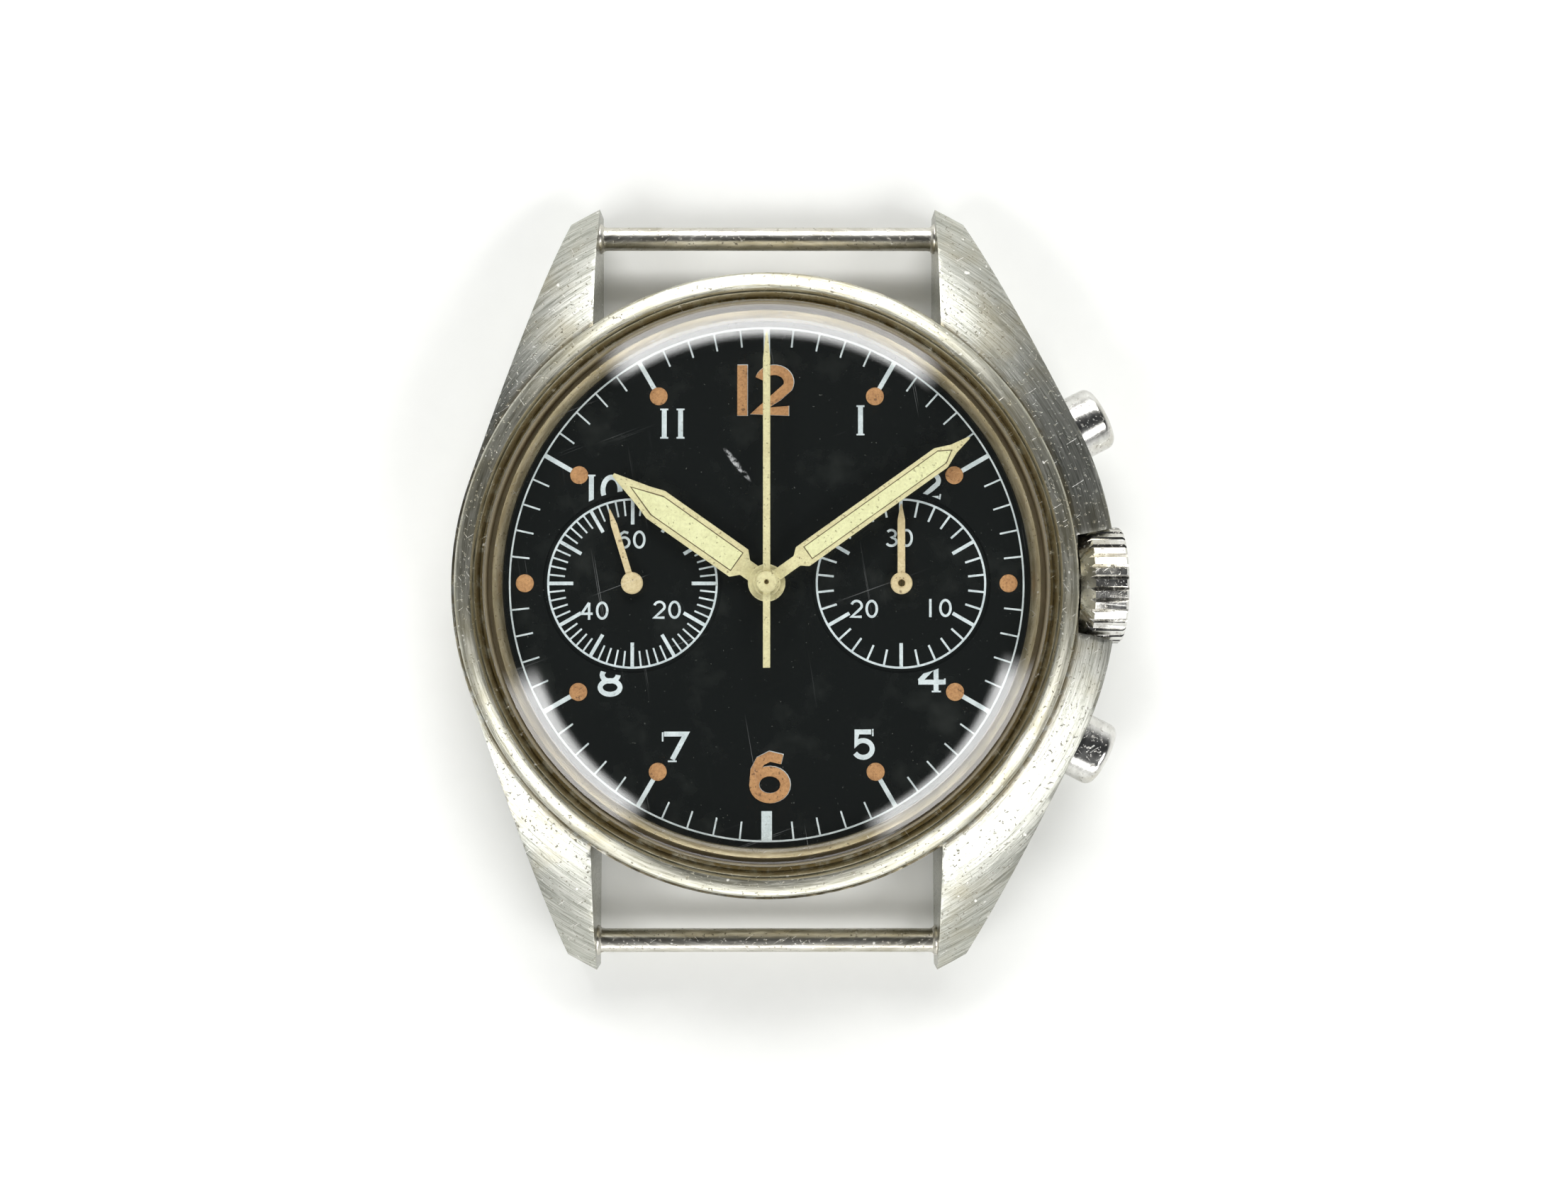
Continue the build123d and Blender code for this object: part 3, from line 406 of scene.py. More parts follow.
def lacquer(name):
    """Glossy black lacquer, with fine turned rings in the two subdials."""
    material, shader, place = new_material(name, roughness=0.3, coat=0.35)
    x, y, _ = place.parts()
    aside = x.maths("ABSOLUTE", x) - SUBDIAL_X
    radius = (aside * aside + y * y).maths("SQRT", aside * aside + y * y)
    inside = radius.over(SUBDIAL_RADIUS, SUBDIAL_RADIUS - 0.12)
    rings = (radius * 34.0).maths("SINE", radius * 34.0) * inside
    stain = place.noise(0.35, 4.0, 0.6).over(0.5, 0.8)
    dust = place.noise(6.0, 2.0, 0.6).over(0.73, 0.78)
    colour = (stain * 0.7).mixed((0.0065, 0.0080, 0.0075, 1), (0.016, 0.0185, 0.0165, 1))
    colour = (dust * 0.6).mixed(colour, (0.16, 0.17, 0.15, 1))
    colour.feeds(shader, "Base Color")
    (stain * 0.12 + dust * 0.3 + 0.26).feeds(shader, "Roughness")
    fine = place.noise(9.0, 2.0, 0.6)
    bump(rings * 0.6 + fine * 0.35, 0.3, 0.00001).feeds(shader, "Normal")
    return material


dial_profile = [(0.0, DIAL_BOTTOM), (DIAL_RADIUS, DIAL_BOTTOM), (DIAL_RADIUS, 7.86), (15.66, DIAL_TOP)]
dial = turned("dial_disc", dial_profile + [(0.0, DIAL_TOP)], 192)
for side in (-1, 1):
    recess = turned("recess", rod(SUBDIAL_RADIUS, SUBDIAL_FLOOR, ABOVE_DIAL), 128)
    arbor_hole = turned("hole", rod(SMALL_HOLE, 7, ABOVE_DIAL), 32)
    for tool in (recess, arbor_hole):
        tool.data.transform(Matrix.Translation((side * SUBDIAL_X, 0, 0)))
        cut(dial, tool)
cut(dial, turned("hole", rod(CENTRE_HOLE, 7, ABOVE_DIAL), 48))
eased(dial, 0.035, 2, 40)
finished(dial, "case", lacquer("black_lacquer"), 30, ["dial"])

# ---------------------------------------------------------------------------------------------
# Minute track: a thin white ring printed near the dial's edge, with a tick for every minute and a
# broader bar at each hour. The ink is a little raised and uneven.
PRINT_HEIGHT = 0.02
TRACK_RADIUS, TICK_LENGTH, TICK_WIDTH, LONG_BAR = 14.62, 1.04, 0.1, 1.7
DOTS_AT, SIDE_DOTS_AT, DOT_RADIUS = 12.35, 13.76, 0.51


def copied(piece, matrix):
    """Another of the same, with its own mesh, put elsewhere."""
    twin = piece.copy()
    twin.data = piece.data.copy()
    twin.data.transform(matrix)
    bpy.context.scene.collection.objects.link(twin)
    return twin


def joined_up(name, pieces):
    """Several pieces made one, under that name."""
    bpy.ops.object.select_all(action="DESELECT")
    for piece in pieces:
        piece.select_set(True)
    bpy.context.view_layer.objects.active = pieces[0]
    bpy.ops.object.join()
    pieces[0].name = name
    pieces[0].data.name = name
    return pieces[0]


def turned_to(clock_degrees, x=0.0, y=0.0):
    """Clockwise turn from twelve about a pivot; the piece is made pointing at twelve."""
    return Matrix.Translation((x, y, 0)) @ Matrix.Rotation(math.radians(-clock_degrees), 4, "Z")


def slab(name, loops, bottom, thickness):
    """Loops of (x, y) filled between, an inner loop being a hole, and given a thickness."""
    curve = bpy.data.curves.new(name, "CURVE")
    curve.dimensions = "2D"
    curve.fill_mode = "BOTH"
    curve.extrude = thickness / 2
    for loop in loops:
        spline = curve.splines.new("POLY")
        spline.points.add(len(loop) - 1)
        for point, (x, y) in zip(spline.points, loop):
            point.co = (x, y, 0, 1)
        spline.use_cyclic_u = True
    piece = bpy.data.objects.new(name, curve)
    bpy.context.scene.collection.objects.link(piece)
    bpy.ops.object.select_all(action="DESELECT")
    piece.select_set(True)
    bpy.context.view_layer.objects.active = piece
    bpy.ops.object.convert(target="MESH")
    in_edit_mode(
        piece,
        (bpy.ops.mesh.remove_doubles, {"threshold": 0.0002}),
        (bpy.ops.mesh.normals_make_consistent, {"inside": False}),
    )
    piece.data.transform(Matrix.Translation((0, 0, bottom + thickness / 2)))
    return piece


def block(width, near, far):
    """The outline of a bar across the twelve o'clock line between two distances."""
    return [(-width / 2, near), (width / 2, near), (width / 2, far), (-width / 2, far)]


def printed_ring(radius, half_width, bottom, steps):
    """A thin printed circle round the middle."""
    near, far, top = radius - half_width, radius + half_width, bottom + PRINT_HEIGHT
    return turned("ring", [(near, bottom), (far, bottom), (far, top), (near, top)], steps)


def ink(name, light, dark, roughness=0.45):
    """Printing ink, patchy and specked."""
    material, shader, place = new_material(name, roughness=roughness)
    patch = place.noise(1.3, 3.0, 0.6)
    grain = place.noise(11.0, 2.0, 0.6)
    speck = place.noise(4.6, 1.0, 0.5).over(0.7, 0.76)
    colour = (patch * 0.6 + grain * 0.4).over(0.36, 0.64).mixed(dark, light)
    colour = (speck * 0.45).mixed(colour, (0.2, 0.2, 0.17, 1))
    colour.feeds(shader, "Base Color")
    (grain * 0.2 + (roughness - 0.1)).feeds(shader, "Roughness")
    bump(grain + patch * 0.5, 0.35, 0.00001).feeds(shader, "Normal")
    return material


white_ink = ink("white_ink", (0.76, 0.83, 0.85, 1), (0.55, 0.62, 0.64, 1))
low = DIAL_TOP - 0.005
bar_thickness = PRINT_HEIGHT + 0.004
track = [printed_ring(TRACK_RADIUS, 0.05, low, 256)]
tick = slab("tick", [block(TICK_WIDTH, TRACK_RADIUS - TICK_LENGTH, TRACK_RADIUS)], low, PRINT_HEIGHT + 0.002)
hour_bar = slab("hour_bar", [block(0.26, DOTS_AT, TRACK_RADIUS)], low, bar_thickness)
wide_bar = slab("wide_bar", [block(0.6, TRACK_RADIUS - LONG_BAR, TRACK_RADIUS)], low, bar_thickness)
thin_bar = slab("thin_bar", [block(0.36, TRACK_RADIUS - LONG_BAR, TRACK_RADIUS)], low, bar_thickness)
for minute in range(60):
    if minute % 5:
        track.append(copied(tick, turned_to(6 * minute)))
    elif minute in (0, 30):
        track.append(copied(wide_bar if minute else thin_bar, turned_to(6 * minute)))
    elif minute not in (15, 45):
        track.append(copied(hour_bar, turned_to(6 * minute)))
for pattern in (tick, hour_bar, wide_bar, thin_bar):
    bpy.data.objects.remove(pattern, do_unlink=True)
finished(joined_up("minute_track", track), "case", white_ink)

# ---------------------------------------------------------------------------------------------
# Luminous dots: blobs of aged luminous paint, one at each hour but twelve and six, domed by the
# brush and darkened to a grainy tan.


def aged_lume(name, light, dark, speck_colour, roughness=0.75):
    """Thick paint that has aged: grainy, patchy and dark-specked."""
    material, shader, place = new_material(name, roughness=roughness)
    grain = place.noise(7.0, 3.0, 0.65)
    patch = place.noise(1.1, 2.0, 0.5)
    speck = place.noise(5.2, 2.0, 0.5).over(0.64, 0.7)
    colour = (grain * 0.65 + patch * 0.35).over(0.36, 0.64).mixed(dark, light)
    colour = (speck * 0.7).mixed(colour, speck_colour)
    colour.feeds(shader, "Base Color")
    (grain * 0.2 + (roughness - 0.1)).feeds(shader, "Roughness")
    bump(grain + patch - speck * 0.6, 0.7, 0.00003).feeds(shader, "Normal")
    return material


tan_lume = aged_lume("tan_lume", (0.58, 0.31, 0.13, 1), (0.39, 0.19, 0.075, 1), (0.12, 0.06, 0.03, 1))
dot_profile = [(0, low), (DOT_RADIUS, low), (DOT_RADIUS, 7.93), (DOT_RADIUS * 0.86, 7.975)]
dot = turned("dot", dot_profile + [(DOT_RADIUS * 0.5, 8.0), (0, 8.005)], 40)
dots = []
for hour in (1, 2, 3, 4, 5, 7, 8, 9, 10, 11):
    reach = SIDE_DOTS_AT if hour in (3, 9) else DOTS_AT
    dots.append(copied(dot, turned_to(30 * hour) @ Matrix.Translation((0, reach, 0))))
bpy.data.objects.remove(dot, do_unlink=True)
finished(joined_up("luminous_dots", dots), "case", tan_lume)

# ---------------------------------------------------------------------------------------------
# Luminous twelve and six: thick figures of the same aged paint, laid over white figures whose
# thin edges show at the corners.


def ribbon(points, width, closed=False):
    """The loops that bound a stroke of that width drawn along points, with mitred corners."""
    path = [Vector(point) for point in points]
    left, right = [], []
    last = len(path) - 1
    for index, point in enumerate(path):
        before = path[index - 1] if index or closed else point
        after = path[(index + 1) % len(path)] if index < last or closed else point
        arriving = (point - before).normalized()
        leaving = (after - point).normalized()
        along = (arriving + leaving).normalized()
        reach = width / 2 / max(along.dot(arriving if index or closed else leaving), 0.5)
        left.append((point.x - along.y * reach, point.y + along.x * reach))
        right.append((point.x + along.y * reach, point.y - along.x * reach))
    if closed:
        return [left, right]
    return [left + right[::-1]]


def bowl(x, y, wide, high, start=0.0, end=360.0, steps=24):
    """Points round an ellipse, anticlockwise from start to end."""
    points = []
    for step in range(steps + 1):
        across, up = polar(1.0, start + (end - start) * step / steps)
        points.append((x + wide * across, y + high * up))
    return points


# Each figure is a list of (points, closed) in a square from -0.5 to 0.5 both ways.
FIGURES = {
    "0": [(bowl(0, 0, 0.5, 0.5)[:-1], True)],
    "1": [([(0, -0.5), (0, 0.5)], False)],
    "2": [(bowl(0, 0.2, 0.5, 0.3, 165, -25, 16) + [(0.1, -0.15), (-0.5, -0.5), (0.5, -0.5)], False)],
    "3": [(bowl(-0.02, 0.26, 0.42, 0.24, 150, -80, 14) + bowl(-0.02, -0.24, 0.5, 0.26, 80, -155, 16), False)],
    "4": [
        ([(0.2, -0.58), (0.2, 0.5)], False),
        ([(0.2, 0.5), (-0.5, -0.16)], False),
        ([(-0.55, -0.2), (0.55, -0.2)], False),
    ],
    "5": [([(0.42, 0.5), (-0.36, 0.5), (-0.4, 0.03)] + bowl(-0.02, -0.17, 0.5, 0.33, 130, -150, 18), False)],
    "6": [
        (bowl(0, -0.18, 0.5, 0.32)[:-1], True),
        ([(-0.49, -0.1), (-0.46, 0.15), (-0.3, 0.38), (0.0, 0.49), (0.4, 0.42)], False),
    ],
    "7": [([(-0.5, 0.5), (0.5, 0.5), (-0.12, -0.5)], False)],
    "8": [(bowl(0, -0.23, 0.5, 0.27)[:-1], True), (bowl(0, 0.26, 0.4, 0.24)[:-1], True)],
}


def figure(digit, x, y, width, height, stroke, bottom, thickness):
    """The strokes of one figure, each its own slab, in a box of that width and height."""
    strokes = []
    for points, closed in FIGURES[digit]:
        placed = [(x + (width - stroke) * across, y + (height - stroke) * up) for across, up in points]
        if digit == "1":
            placed = [(x, y - height / 2), (x, y + height / 2)]
        loops = ribbon(placed, stroke, closed)
        strokes.append(slab("stroke", loops, bottom, thickness + 0.001 * len(strokes)))
    return strokes


UNDER_THICKNESS, LUME_THICKNESS = 0.03, 0.1
twelve_under = figure("1", -1.38, 11.05, 0.6, 2.96, 0.6, low, UNDER_THICKNESS)
twelve_under += figure("2", 0.44, 11.05, 2.26, 2.96, 0.58, low, UNDER_THICKNESS)
six_under = figure("6", 0.19, -10.98, 2.37, 2.99, 0.58, low, UNDER_THICKNESS)
finished(joined_up("white_twelve_and_six", twelve_under + six_under), "case", white_ink)
luminous = figure("1", -1.4, 11.03, 0.6, 2.9, 0.58, low, LUME_THICKNESS)
luminous += figure("2", 0.42, 11.03, 2.23, 2.9, 0.56, low, LUME_THICKNESS)
luminous += figure("6", 0.17, -11.0, 2.33, 2.94, 0.56, low, LUME_THICKNESS)
for piece in luminous:
    eased(piece, 0.04, 2, 40)
finished(joined_up("luminous_twelve_and_six", luminous), "case", tan_lume)

# ---------------------------------------------------------------------------------------------
# White hour figures: printed in the same ink, upright, with thin serifs. The ones beside the
# subdials are cut off by them.
SERIF = 0.09
FIGURE_HEIGHT, FIGURE_STROKE = 1.72, 0.28
SUBDIAL_MARGIN = 5.28


def serif(x, y, width, tilt=0.0):
    """A thin cross stroke that ends a stem."""
    across = Vector((width / 2, 0)) @ Matrix.Rotation(math.radians(-tilt), 2)
    ends = [(x - across.x, y - across.y), (x + across.x, y + across.y)]
    return slab("serif", ribbon(ends, SERIF), low, PRINT_HEIGHT + 0.003)


def white_figure(digit, x, y, width):
    """One hour figure without its serifs."""
    return figure(digit, x, y, width, FIGURE_HEIGHT, FIGURE_STROKE, low, PRINT_HEIGHT)


def one(x, y):
    """The figure one: a stem with a serif at each end."""
    stem = white_figure("1", x, y, FIGURE_STROKE)
    for side in (-1, 1):
        stem.append(serif(x, y + side * (FIGURE_HEIGHT - SERIF) / 2, FIGURE_STROKE + 0.18))
    return stem


figures = one(-5.39 - 0.465, 9.13) + one(-5.39 + 0.465, 9.13) + one(5.35, 9.32)
figures += white_figure("2", 9.27, 5.58, 1.33) + [serif(9.87, 4.92, 0.36, 80)]
figures += white_figure("4", 9.35, -5.33, 1.62) + [serif(9.63, -6.15, 0.52), serif(10.12, -5.58, 0.34, 90)]
figures += white_figure("5", 5.49, -9.16, 1.32) + [serif(6.02, -8.48, 0.4, 90)]
figures += white_figure("7", -5.2, -9.28, 1.52) + [serif(-5.9, -8.72, 0.52, 90), serif(-5.35, -10.1, 0.5)]
figures += white_figure("8", -8.89, -5.59, 1.41)
figures += one(-10.0, 5.34) + white_figure("0", -8.85, 5.34, 1.26)
for piece in figures:
    corner = piece.data.vertices[0].co
    side = math.copysign(1, corner.x)
    if math.hypot(corner.x - side * SUBDIAL_X, corner.y) < 8:
        clear = turned("clear", rod(SUBDIAL_MARGIN, 7, ABOVE_DIAL), 96)
        clear.data.transform(Matrix.Translation((side * SUBDIAL_X, 0, 0)))
        cut(piece, clear)
for piece in [piece for piece in figures if not piece.data.vertices]:
    figures.remove(piece)
    bpy.data.objects.remove(piece, do_unlink=True)
finished(joined_up("white_figures", figures), "case", white_ink)

# ---------------------------------------------------------------------------------------------
# Subdial scales: running seconds on the left, the thirty-minute recorder on the right, printed on
# the sunk floors as a ring, ticks that stand inwards from it, and three small figures each.
SCALE_RADIUS = 4.8
SMALL_HEIGHT, SMALL_WIDTH, SMALL_STROKE, SMALL_PITCH = 1.04, 0.72, 0.14, 0.86
floor_low = SUBDIAL_FLOOR - 0.005


def scale(name, centre_x, ticks, long_tick, short_tick, labels):
    """A subdial's ring, its ticks as (length, width) with every fifth one long, and its figures."""
    pieces = [printed_ring(SCALE_RADIUS, 0.06, floor_low, 160)]
    for index in range(ticks):
        length, width = short_tick if index % 5 else long_tick
        outline = block(width, SCALE_RADIUS - length, SCALE_RADIUS)
        mark = slab("mark", [outline], floor_low, PRINT_HEIGHT + 0.002)
        mark.data.transform(turned_to(360 * index / ticks))
        pieces.append(mark)
    for text, x, y in labels:
        for column, digit in enumerate(text):
            left = x + (column - 0.5) * SMALL_PITCH
            pieces += figure(digit, left, y, SMALL_WIDTH, SMALL_HEIGHT, SMALL_STROKE, floor_low, PRINT_HEIGHT)
    whole = joined_up(name, pieces)
    whole.data.transform(Matrix.Translation((centre_x, 0, 0)))
    return whole


seconds_labels = [("60", -0.05, 2.5), ("40", -2.15, -1.55), ("20", 1.97, -1.5)]
seconds = scale("seconds_scale", -SUBDIAL_X, 60, (1.43, 0.2), (0.93, 0.1), seconds_labels)
finished(seconds, "case", white_ink)
recorder_labels = [("30", -0.1, 2.6), ("20", -2.1, -1.45), ("10", 2.1, -1.4)]
recorder = scale("recorder_scale", SUBDIAL_X, 30, (1.4, 0.2), (0.95, 0.12), recorder_labels)
finished(recorder, "case", white_ink)

# ---------------------------------------------------------------------------------------------
# Hands: pressed from thin brass and painted cream, the hour and minute hands pierced and filled
# with pale luminous paint. The paint has aged: a dark line round the filling, and dark specks.
HOUR_AT, MINUTE_AT, SWEEP_AT, SECONDS_AT, RECORDER_AT = 305.2, 54.4, 0.0, 342.8, 0.0
HOUR_LEVEL, MINUTE_LEVEL, SWEEP_LEVEL, SMALL_LEVEL = 8.45, 8.95, 9.45, 8.1
BLADE_THICKNESS, SWEEP_THICKNESS, SMALL_THICKNESS = 0.17, 0.14, 0.12
FILLING_RISE, EDGE_THICKNESS, FILLING_THICKNESS = 0.15, 0.025, 0.045


def blade(stations):
    """A symmetrical outline pointing at twelve, from (distance, half width) tail to tip."""
    right = [(half_width, distance) for distance, half_width in stations]
    left = [(-half_width, distance) for distance, half_width in reversed(stations) if half_width > 0]
    return right + left


def pointer(stations, bottom, thickness, ease):
    """A pressed blade, lying at that level, with its edges broken."""
    piece = slab("blade", [blade(stations)], bottom, thickness)
    eased(piece, ease, 2, 20)
    return piece


def boss(radius, bottom, top, hole=0.0):
    """A hand's hub, rounded over, with its hole if it is pierced."""
    edge = 0.06
    section = [(hole, bottom), (radius, bottom), (radius, top - edge), (radius - edge, top), (hole, top)]
    return turned("boss", section, 64)


def hand_set(name, body, clock, pivot_x, parts, material, replaces=()):
    """A hand's pieces joined, turned to the time it shows, and fixed to its arbor's body."""
    whole = joined_up(name, parts)
    whole.data.transform(turned_to(clock, pivot_x))
    return finished(whole, body, material, 35, replaces)


cream = aged_lume("cream_paint", (0.80, 0.74, 0.43, 1), (0.66, 0.59, 0.33, 1), (0.22, 0.17, 0.08, 1), 0.5)
pale_lume = aged_lume("pale_lume", (0.86, 0.85, 0.50, 1), (0.74, 0.72, 0.40, 1), (0.30, 0.27, 0.12, 1), 0.7)
dark_edge = aged_lume(
    "dark_paint_edge", (0.20, 0.15, 0.07, 1), (0.10, 0.075, 0.04, 1), (0.03, 0.03, 0.02, 1), 0.8
)
tan_paint = aged_lume("tan_paint", (0.76, 0.63, 0.38, 1), (0.62, 0.49, 0.27, 1), (0.16, 0.10, 0.05, 1), 0.55)

hour_outline = [(0.6, 0.5), (1.5, 0.5), (1.93, 0.94), (7.7, 0.94), (8.6, 0.64), (10.65, 0.1)]
hour_parts = [pointer(hour_outline, HOUR_LEVEL, BLADE_THICKNESS, 0.03), boss(1.06, 8.41, 8.71, 0.56)]
hand_set("hour_hand_blade", "hour", HOUR_AT, 0, hour_parts, cream, ["hour_hand"])
filling_at = HOUR_LEVEL + FILLING_RISE
hour_line = slab("line", [blade([(2.04, 0.64), (7.62, 0.66), (9.5, 0.0)])], filling_at, EDGE_THICKNESS)
hand_set("hour_hand_dark_line", "hour", HOUR_AT, 0, [hour_line], dark_edge)
hour_fill = slab("fill", [blade([(2.1, 0.58), (7.55, 0.6), (9.34, 0.0)])], filling_at, FILLING_THICKNESS)
hand_set("hour_hand_lume", "hour", HOUR_AT, 0, [hour_fill], pale_lume)

minute_outline = [(0.5, 0.33), (2.1, 0.33), (2.5, 0.66), (12.1, 0.66), (13.0, 0.28), (14.1, 0.06)]
minute_parts = [pointer(minute_outline, MINUTE_LEVEL, BLADE_THICKNESS, 0.03), boss(0.78, 8.91, 9.21, 0.3)]
hand_set("minute_hand_blade", "centre", MINUTE_AT, 0, minute_parts, cream, ["minute_hand"])
filling_at = MINUTE_LEVEL + FILLING_RISE
minute_line = slab("line", [blade([(2.84, 0.43), (12.2, 0.44), (12.9, 0.0)])], filling_at, EDGE_THICKNESS)
hand_set("minute_hand_dark_line", "centre", MINUTE_AT, 0, [minute_line], dark_edge)
minute_fill = slab("fill", [blade([(2.9, 0.38), (12.15, 0.39), (12.8, 0.0)])], filling_at, FILLING_THICKNESS)
hand_set("minute_hand_lume", "centre", MINUTE_AT, 0, [minute_fill], pale_lume)

# ---------------------------------------------------------------------------------------------
# Chronograph seconds hand and the two small hands: slim painted pointers with round hubs; the
# small ones are a darker tan, and the recorder's hub is pierced for its arbor.
SMALL_BOSS = (0.62, 8.06, 8.32)
sweep = pointer([(-4.8, 0.205), (12.6, 0.205), (14.35, 0.03)], SWEEP_LEVEL, SWEEP_THICKNESS, 0.025)
sweep_parts = [sweep, boss(0.6, 9.41, 9.91, 0.13)]
hand_set("chronograph_hand", "chronograph", SWEEP_AT, 0, sweep_parts, cream, ["chrono_seconds_hand"])
seconds_blade = pointer([(0.3, 0.18), (3.5, 0.18), (4.4, 0.04)], SMALL_LEVEL, SMALL_THICKNESS, 0.02)
seconds_parts = [seconds_blade, boss(*SMALL_BOSS)]
hand_set(
    "running_seconds_hand", "fourth", SECONDS_AT, -SUBDIAL_X, seconds_parts, tan_paint, ["small_seconds_hand"]
)
recorder_blade = pointer([(0.3, 0.215), (3.6, 0.215), (4.5, 0.04)], SMALL_LEVEL, SMALL_THICKNESS, 0.02)
recorder_parts = [recorder_blade, boss(*SMALL_BOSS, 0.2)]
hand_set(
    "recorder_hand", "minute_counter", RECORDER_AT, SUBDIAL_X, recorder_parts, tan_paint,
    ["minute_recorder_hand"],
)

# ---------------------------------------------------------------------------------------------
# Crown: polished steel, with 32 teeth cut along its edge for the fingers, bevelled at both ends,
# and a slightly domed face. Its back tapers in to the tube that it slides over when pulled.
polished = turned_steel("polished_steel", (0.75, 0.745, 0.715, 1), (0.56, 0.55, 0.52, 1), 0.17, 2.0)
CROWN_TEETH, CROWN_RADIUS, TOOTH_DEPTH = 32, 3.375, 0.24
teeth = []
for tooth in range(CROWN_TEETH):
    for offset, radius in ((-0.3, CROWN_RADIUS), (0.3, CROWN_RADIUS), (0.5, CROWN_RADIUS - TOOTH_DEPTH)):
        teeth.append(polar(radius, (tooth + offset) * 360 / CROWN_TEETH))
crown = laid_level(plate("crown_knurled", teeth, 17.8, 3.0), STEM_HEIGHT)
crown_form = [
    (0, 17.9), (2.7, 17.9), (3.05, 18.25), (3.38, 18.65), (3.38, 20.4), (3.27, 20.54), (3.05, 20.6),
    (2.95, 20.56), (2.7, 20.6), (1.4, 20.64), (0, 20.65),
]
cut(crown, turned("form", crown_form, 128, STEM_HEIGHT), "INTERSECT")
eased(crown, 0.035, 2, 25)
finished(crown, "crown", polished, 30, ["crown"])

# ---------------------------------------------------------------------------------------------
# Pushers: plain polished caps on thin stems, one above and one below the crown.
pusher_profile = [
    (0, 14.65), (0.5, 14.65), (0.5, 19.9), (1.78, 19.9), (PUSHER_RADIUS, 20.02), (PUSHER_RADIUS, 21.65),
    (1.87, 21.81), (1.78, 21.95), (1.65, 22.06), (1.45, 22.13), (1.2, 22.15), (0, 22.15),
]
for name, side in (("start", 1), ("reset", -1)):
    pusher = turned(f"{name}_pusher_cap", pusher_profile, 96, PUSHER_HEIGHT, side * PUSHER_ANGLE)
    finished(pusher, f"pusher_{name}", polished, 30, [f"pusher_{name}"])

# ---------------------------------------------------------------------------------------------
# Strap bars: solid round steel, fixed between the lugs with a small collar of solder at each end.
BAR_Y, BAR_Z, BAR_HALF, BAR_RADIUS, COLLAR_RADIUS = 20.9, 2.8, 10.3, 0.69, 0.9
bar_steel = turned_steel("bar_steel", (0.68, 0.66, 0.60, 1), (0.47, 0.45, 0.39, 1), 0.28, 3.0)
collar = [(BAR_RADIUS, 9.6), (0.72, 9.76), (0.84, 9.86), (COLLAR_RADIUS, 10.0), (COLLAR_RADIUS, BAR_HALF)]
collar.append((0, BAR_HALF))
bar_profile = [(radius, -reach) for radius, reach in reversed(collar)] + collar
for name, side in (("12", 1), ("6", -1)):
    bar = turned(f"fixed_bar_{name}", bar_profile, 48, BAR_Z)
    bar.data.transform(Matrix.Translation((0, side * BAR_Y, 0)))
    finished(bar, "case", bar_steel, 30, [f"strap_bar_{name}"])

# ---------------------------------------------------------------------------------------------
# Case back: a screwed steel disc with six notches for the opening key, turned on its outside. Its
# shape is right as it is, so it only takes its metal.


def assign(material, *nodes):
    """Gives parts whose shape is kept their metal."""
    for node in nodes:
        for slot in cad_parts[node].material_slots:
            slot.link = "OBJECT"
            slot.material = material


back_steel = turned_steel("case_back_steel", (0.64, 0.62, 0.57, 1), (0.42, 0.40, 0.35, 1), 0.3, 5.0)
assign(back_steel, "case_back", "crown_tube", "pusher_tube_start", "pusher_tube_reset", "movement_ring")

# ---------------------------------------------------------------------------------------------
# Gaskets: black rubber, dull, with a fine skin.
rubber, shader, place = new_material("gasket_rubber", roughness=0.7)
skin = place.noise(14.0, 3.0, 0.6)
skin.mixed((0.012, 0.012, 0.012, 1), (0.035, 0.034, 0.032, 1)).feeds(shader, "Base Color")
(skin * 0.2 + 0.6).feeds(shader, "Roughness")
bump(skin, 0.4, 0.00001).feeds(shader, "Normal")
assign(rubber, "back_gasket", "crown_gasket")

# ---------------------------------------------------------------------------------------------
# Movement: nickelled plates and bridges with straight striping, brass wheels and tempered steel parts
# with a fine straight grain, blued screws and springs, and pink jewels.


def movement_metal(name, light, dark, roughness, stripes=0.0):
    """Metal with a straight grain, and broad stripes where a bridge is decorated."""
    material, shader, place = new_material(name, metallic=1.0)
    x, y, z = place.parts()
    grain = place.joined(x * 7.0, y * 0.6, z * 7.0).noise(1.0, 3.0, 0.6)
    cloud = place.noise(0.5, 3.0, 0.6)
    band = (x * 2.6 + y * 1.1).maths("SINE", x * 2.6 + y * 1.1) * stripes
    (grain * 0.7 + cloud * 0.3 + band * 0.12).over(0.3, 0.7).mixed(dark, light).feeds(shader, "Base Color")
    (grain * 0.2 + (roughness - 0.1) + band * 0.05).feeds(shader, "Roughness")
    bump(grain + band * 0.4, 0.25, 0.00001).feeds(shader, "Normal")
    return material


nickel = movement_metal("striped_nickel", (0.70, 0.67, 0.60, 1), (0.52, 0.49, 0.43, 1), 0.28, stripes=1.0)
brass = movement_metal("wheel_brass", (0.74, 0.56, 0.25, 1), (0.58, 0.42, 0.17, 1), 0.27)
tool_steel = movement_metal("tempered_steel", (0.62, 0.62, 0.61, 1), (0.46, 0.46, 0.46, 1), 0.22)
blued = movement_metal("blued_steel", (0.09, 0.13, 0.34, 1), (0.05, 0.07, 0.22, 1), 0.2)
ruby, shader, place = new_material("ruby_jewel", roughness=0.08, coat=0.4, ior=1.76)
depth = place.noise(2.4, 2.0, 0.5).over(0.35, 0.65)
depth.mixed((0.36, 0.012, 0.06, 1), (0.62, 0.05, 0.16, 1)).feeds(shader, "Base Color")
assign(
    nickel, "main_plate", "barrel_bridge", "train_bridge", "balance_cock", "pallet_cock",
    "chronograph_bridge",
)
assign(ruby, "jewels")
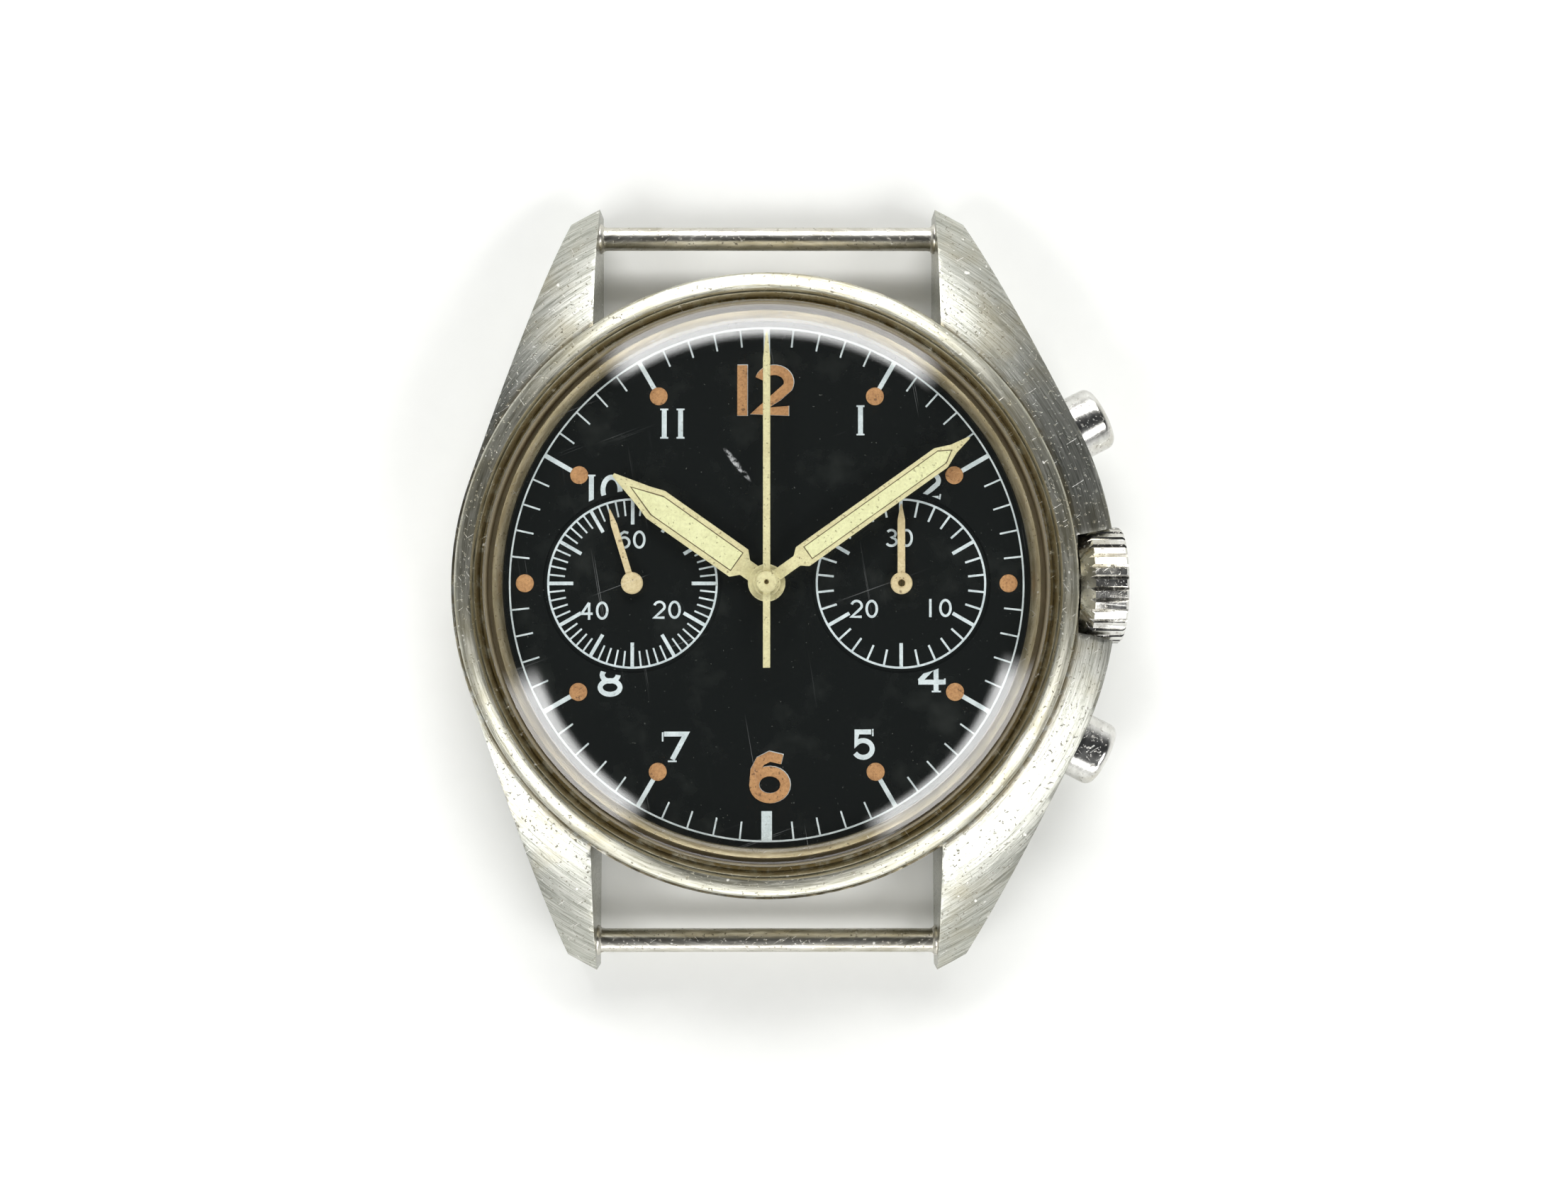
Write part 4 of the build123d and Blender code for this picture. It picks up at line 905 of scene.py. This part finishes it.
assign(blued, "bridge_screws", "hairspring", "mainspring")
assign(
    brass, "barrel", "centre_wheel", "hour_wheel", "minute_wheel", "third_wheel", "fourth_wheel",
    "escape_wheel", "balance_wheel", "coupling_wheel", "chronograph_wheel", "minute_counter_wheel",
    "counter_idler",
)
assign(
    tool_steel, "winding_stem", "yoke", "sliding_clutch", "winding_pinion", "setting_lever",
    "crown_wheel", "ratchet_wheel", "click", "cannon_pinion", "setting_wheel", "pallet_fork",
    "clutch_lever", "reset_hammer", "column_wheel", "operating_lever",
)

# ---------------------------------------------------------------------------------------------
# Surroundings: a pale floor, soft studio lights and the camera, straight above the dial.
floor_material, shader, place = new_material("floor_paper", roughness=0.9)
fibre = place.noise(0.6, 2.0, 0.5)
fibre.mixed((0.88, 0.885, 0.86, 1), (0.905, 0.91, 0.885, 1)).feeds(shader, "Base Color")
bpy.ops.mesh.primitive_plane_add(size=1.2, location=(0, 0, 0))
floor = bpy.context.object
floor.name = "floor"
floor.data.materials.append(floor_material)

LIGHT_DISTANCE = 400.0
END_FADE, EDGE_FADE = 0.14, 7.0


def light_strip(name, azimuth, spread, tilt, thickness, radiance):
    """A curved strip of soft light round the zenith, its angles in degrees, fading out at its ends
    and inner edge."""
    bpy.ops.mesh.primitive_grid_add(x_subdivisions=20, y_subdivisions=3, size=2.0)
    strip = bpy.context.object
    strip.name = name
    for vertex in strip.data.vertices:
        across, up = polar(LIGHT_DISTANCE * MM, 90 - tilt - thickness / 2 * vertex.co.y)
        vertex.co = (*polar(across, spread / 2 * vertex.co.x), up)
    strip.rotation_euler.z = math.radians(azimuth)
    strip.visible_camera = False
    material, shader, place = new_material(name, roughness=1.0)
    x, y, z = place.parts()
    end = math.radians(spread / 2)
    around = y.maths("ARCTAN2", y, x)
    around = around.maths("ABSOLUTE", around).over(end, end - END_FADE)
    edge = LIGHT_DISTANCE * math.cos(math.radians(tilt - thickness / 2))
    inward = z.over(edge, edge - EDGE_FADE)
    (around * inward).mixed((0, 0, 0, 1), (1, 1, 1, 1)).feeds(shader, "Emission Color")
    shader.inputs["Emission Strength"].default_value = radiance
    shader.inputs["Base Color"].default_value = (0, 0, 0, 1)
    strip.data.materials.append(material)


def softbox(name, azimuth, tilt, width, height, radiance):
    """A flat softbox that far off the zenith, turned to the dial."""
    light = bpy.data.lights.new(name, "AREA")
    light.shape = "RECTANGLE"
    light.size, light.size_y = width, height
    light.energy = radiance * width * height * math.pi
    lamp = bpy.data.objects.new(name, light)
    bpy.context.scene.collection.objects.link(lamp)
    across, up = polar(LIGHT_DISTANCE * MM, 90 - tilt)
    lamp.location = (*polar(across, azimuth), up)
    lamp.rotation_euler = (-lamp.location).to_track_quat("-Z", "Y").to_euler()


light_strip("back_strip", 89, 76, 47, 14, 9.5)
light_strip("left_strip", 218, 46, 44, 15, 8.6)
light_strip("right_strip", -40, 56, 44, 15, 8.5)
softbox("back_fill", 91, 63, 0.40, 0.14, 2.8)
softbox("front_fill", -90, 62, 0.40, 0.14, 3.8)

world = bpy.data.worlds.new("studio")
world.use_nodes = True
sky = Wire(world.node_tree).node("ShaderNodeTexCoord")
sky = sky.node("ShaderNodeSeparateXYZ", {}, {0: sky}, 2)
sky = sky.over(0.55, 0.1).mixed((0.025, 0.027, 0.03, 1), (0.95, 0.96, 0.95, 1))
sky.feeds(world.node_tree.nodes["Background"], "Color")
bpy.context.scene.world = world
bpy.context.scene.view_settings.view_transform = "Standard"

camera_data = bpy.data.cameras.new("camera")
camera_data.lens, camera_data.sensor_width = 43.53, 36.0
camera_data.clip_start = 0.01
camera = bpy.data.objects.new("camera", camera_data)
bpy.context.scene.collection.objects.link(camera)
camera.location = (0.00070, -0.0047, 0.1157)
camera.rotation_euler = (math.radians(2.34), math.radians(-0.15), 0)
bpy.context.scene.camera = camera
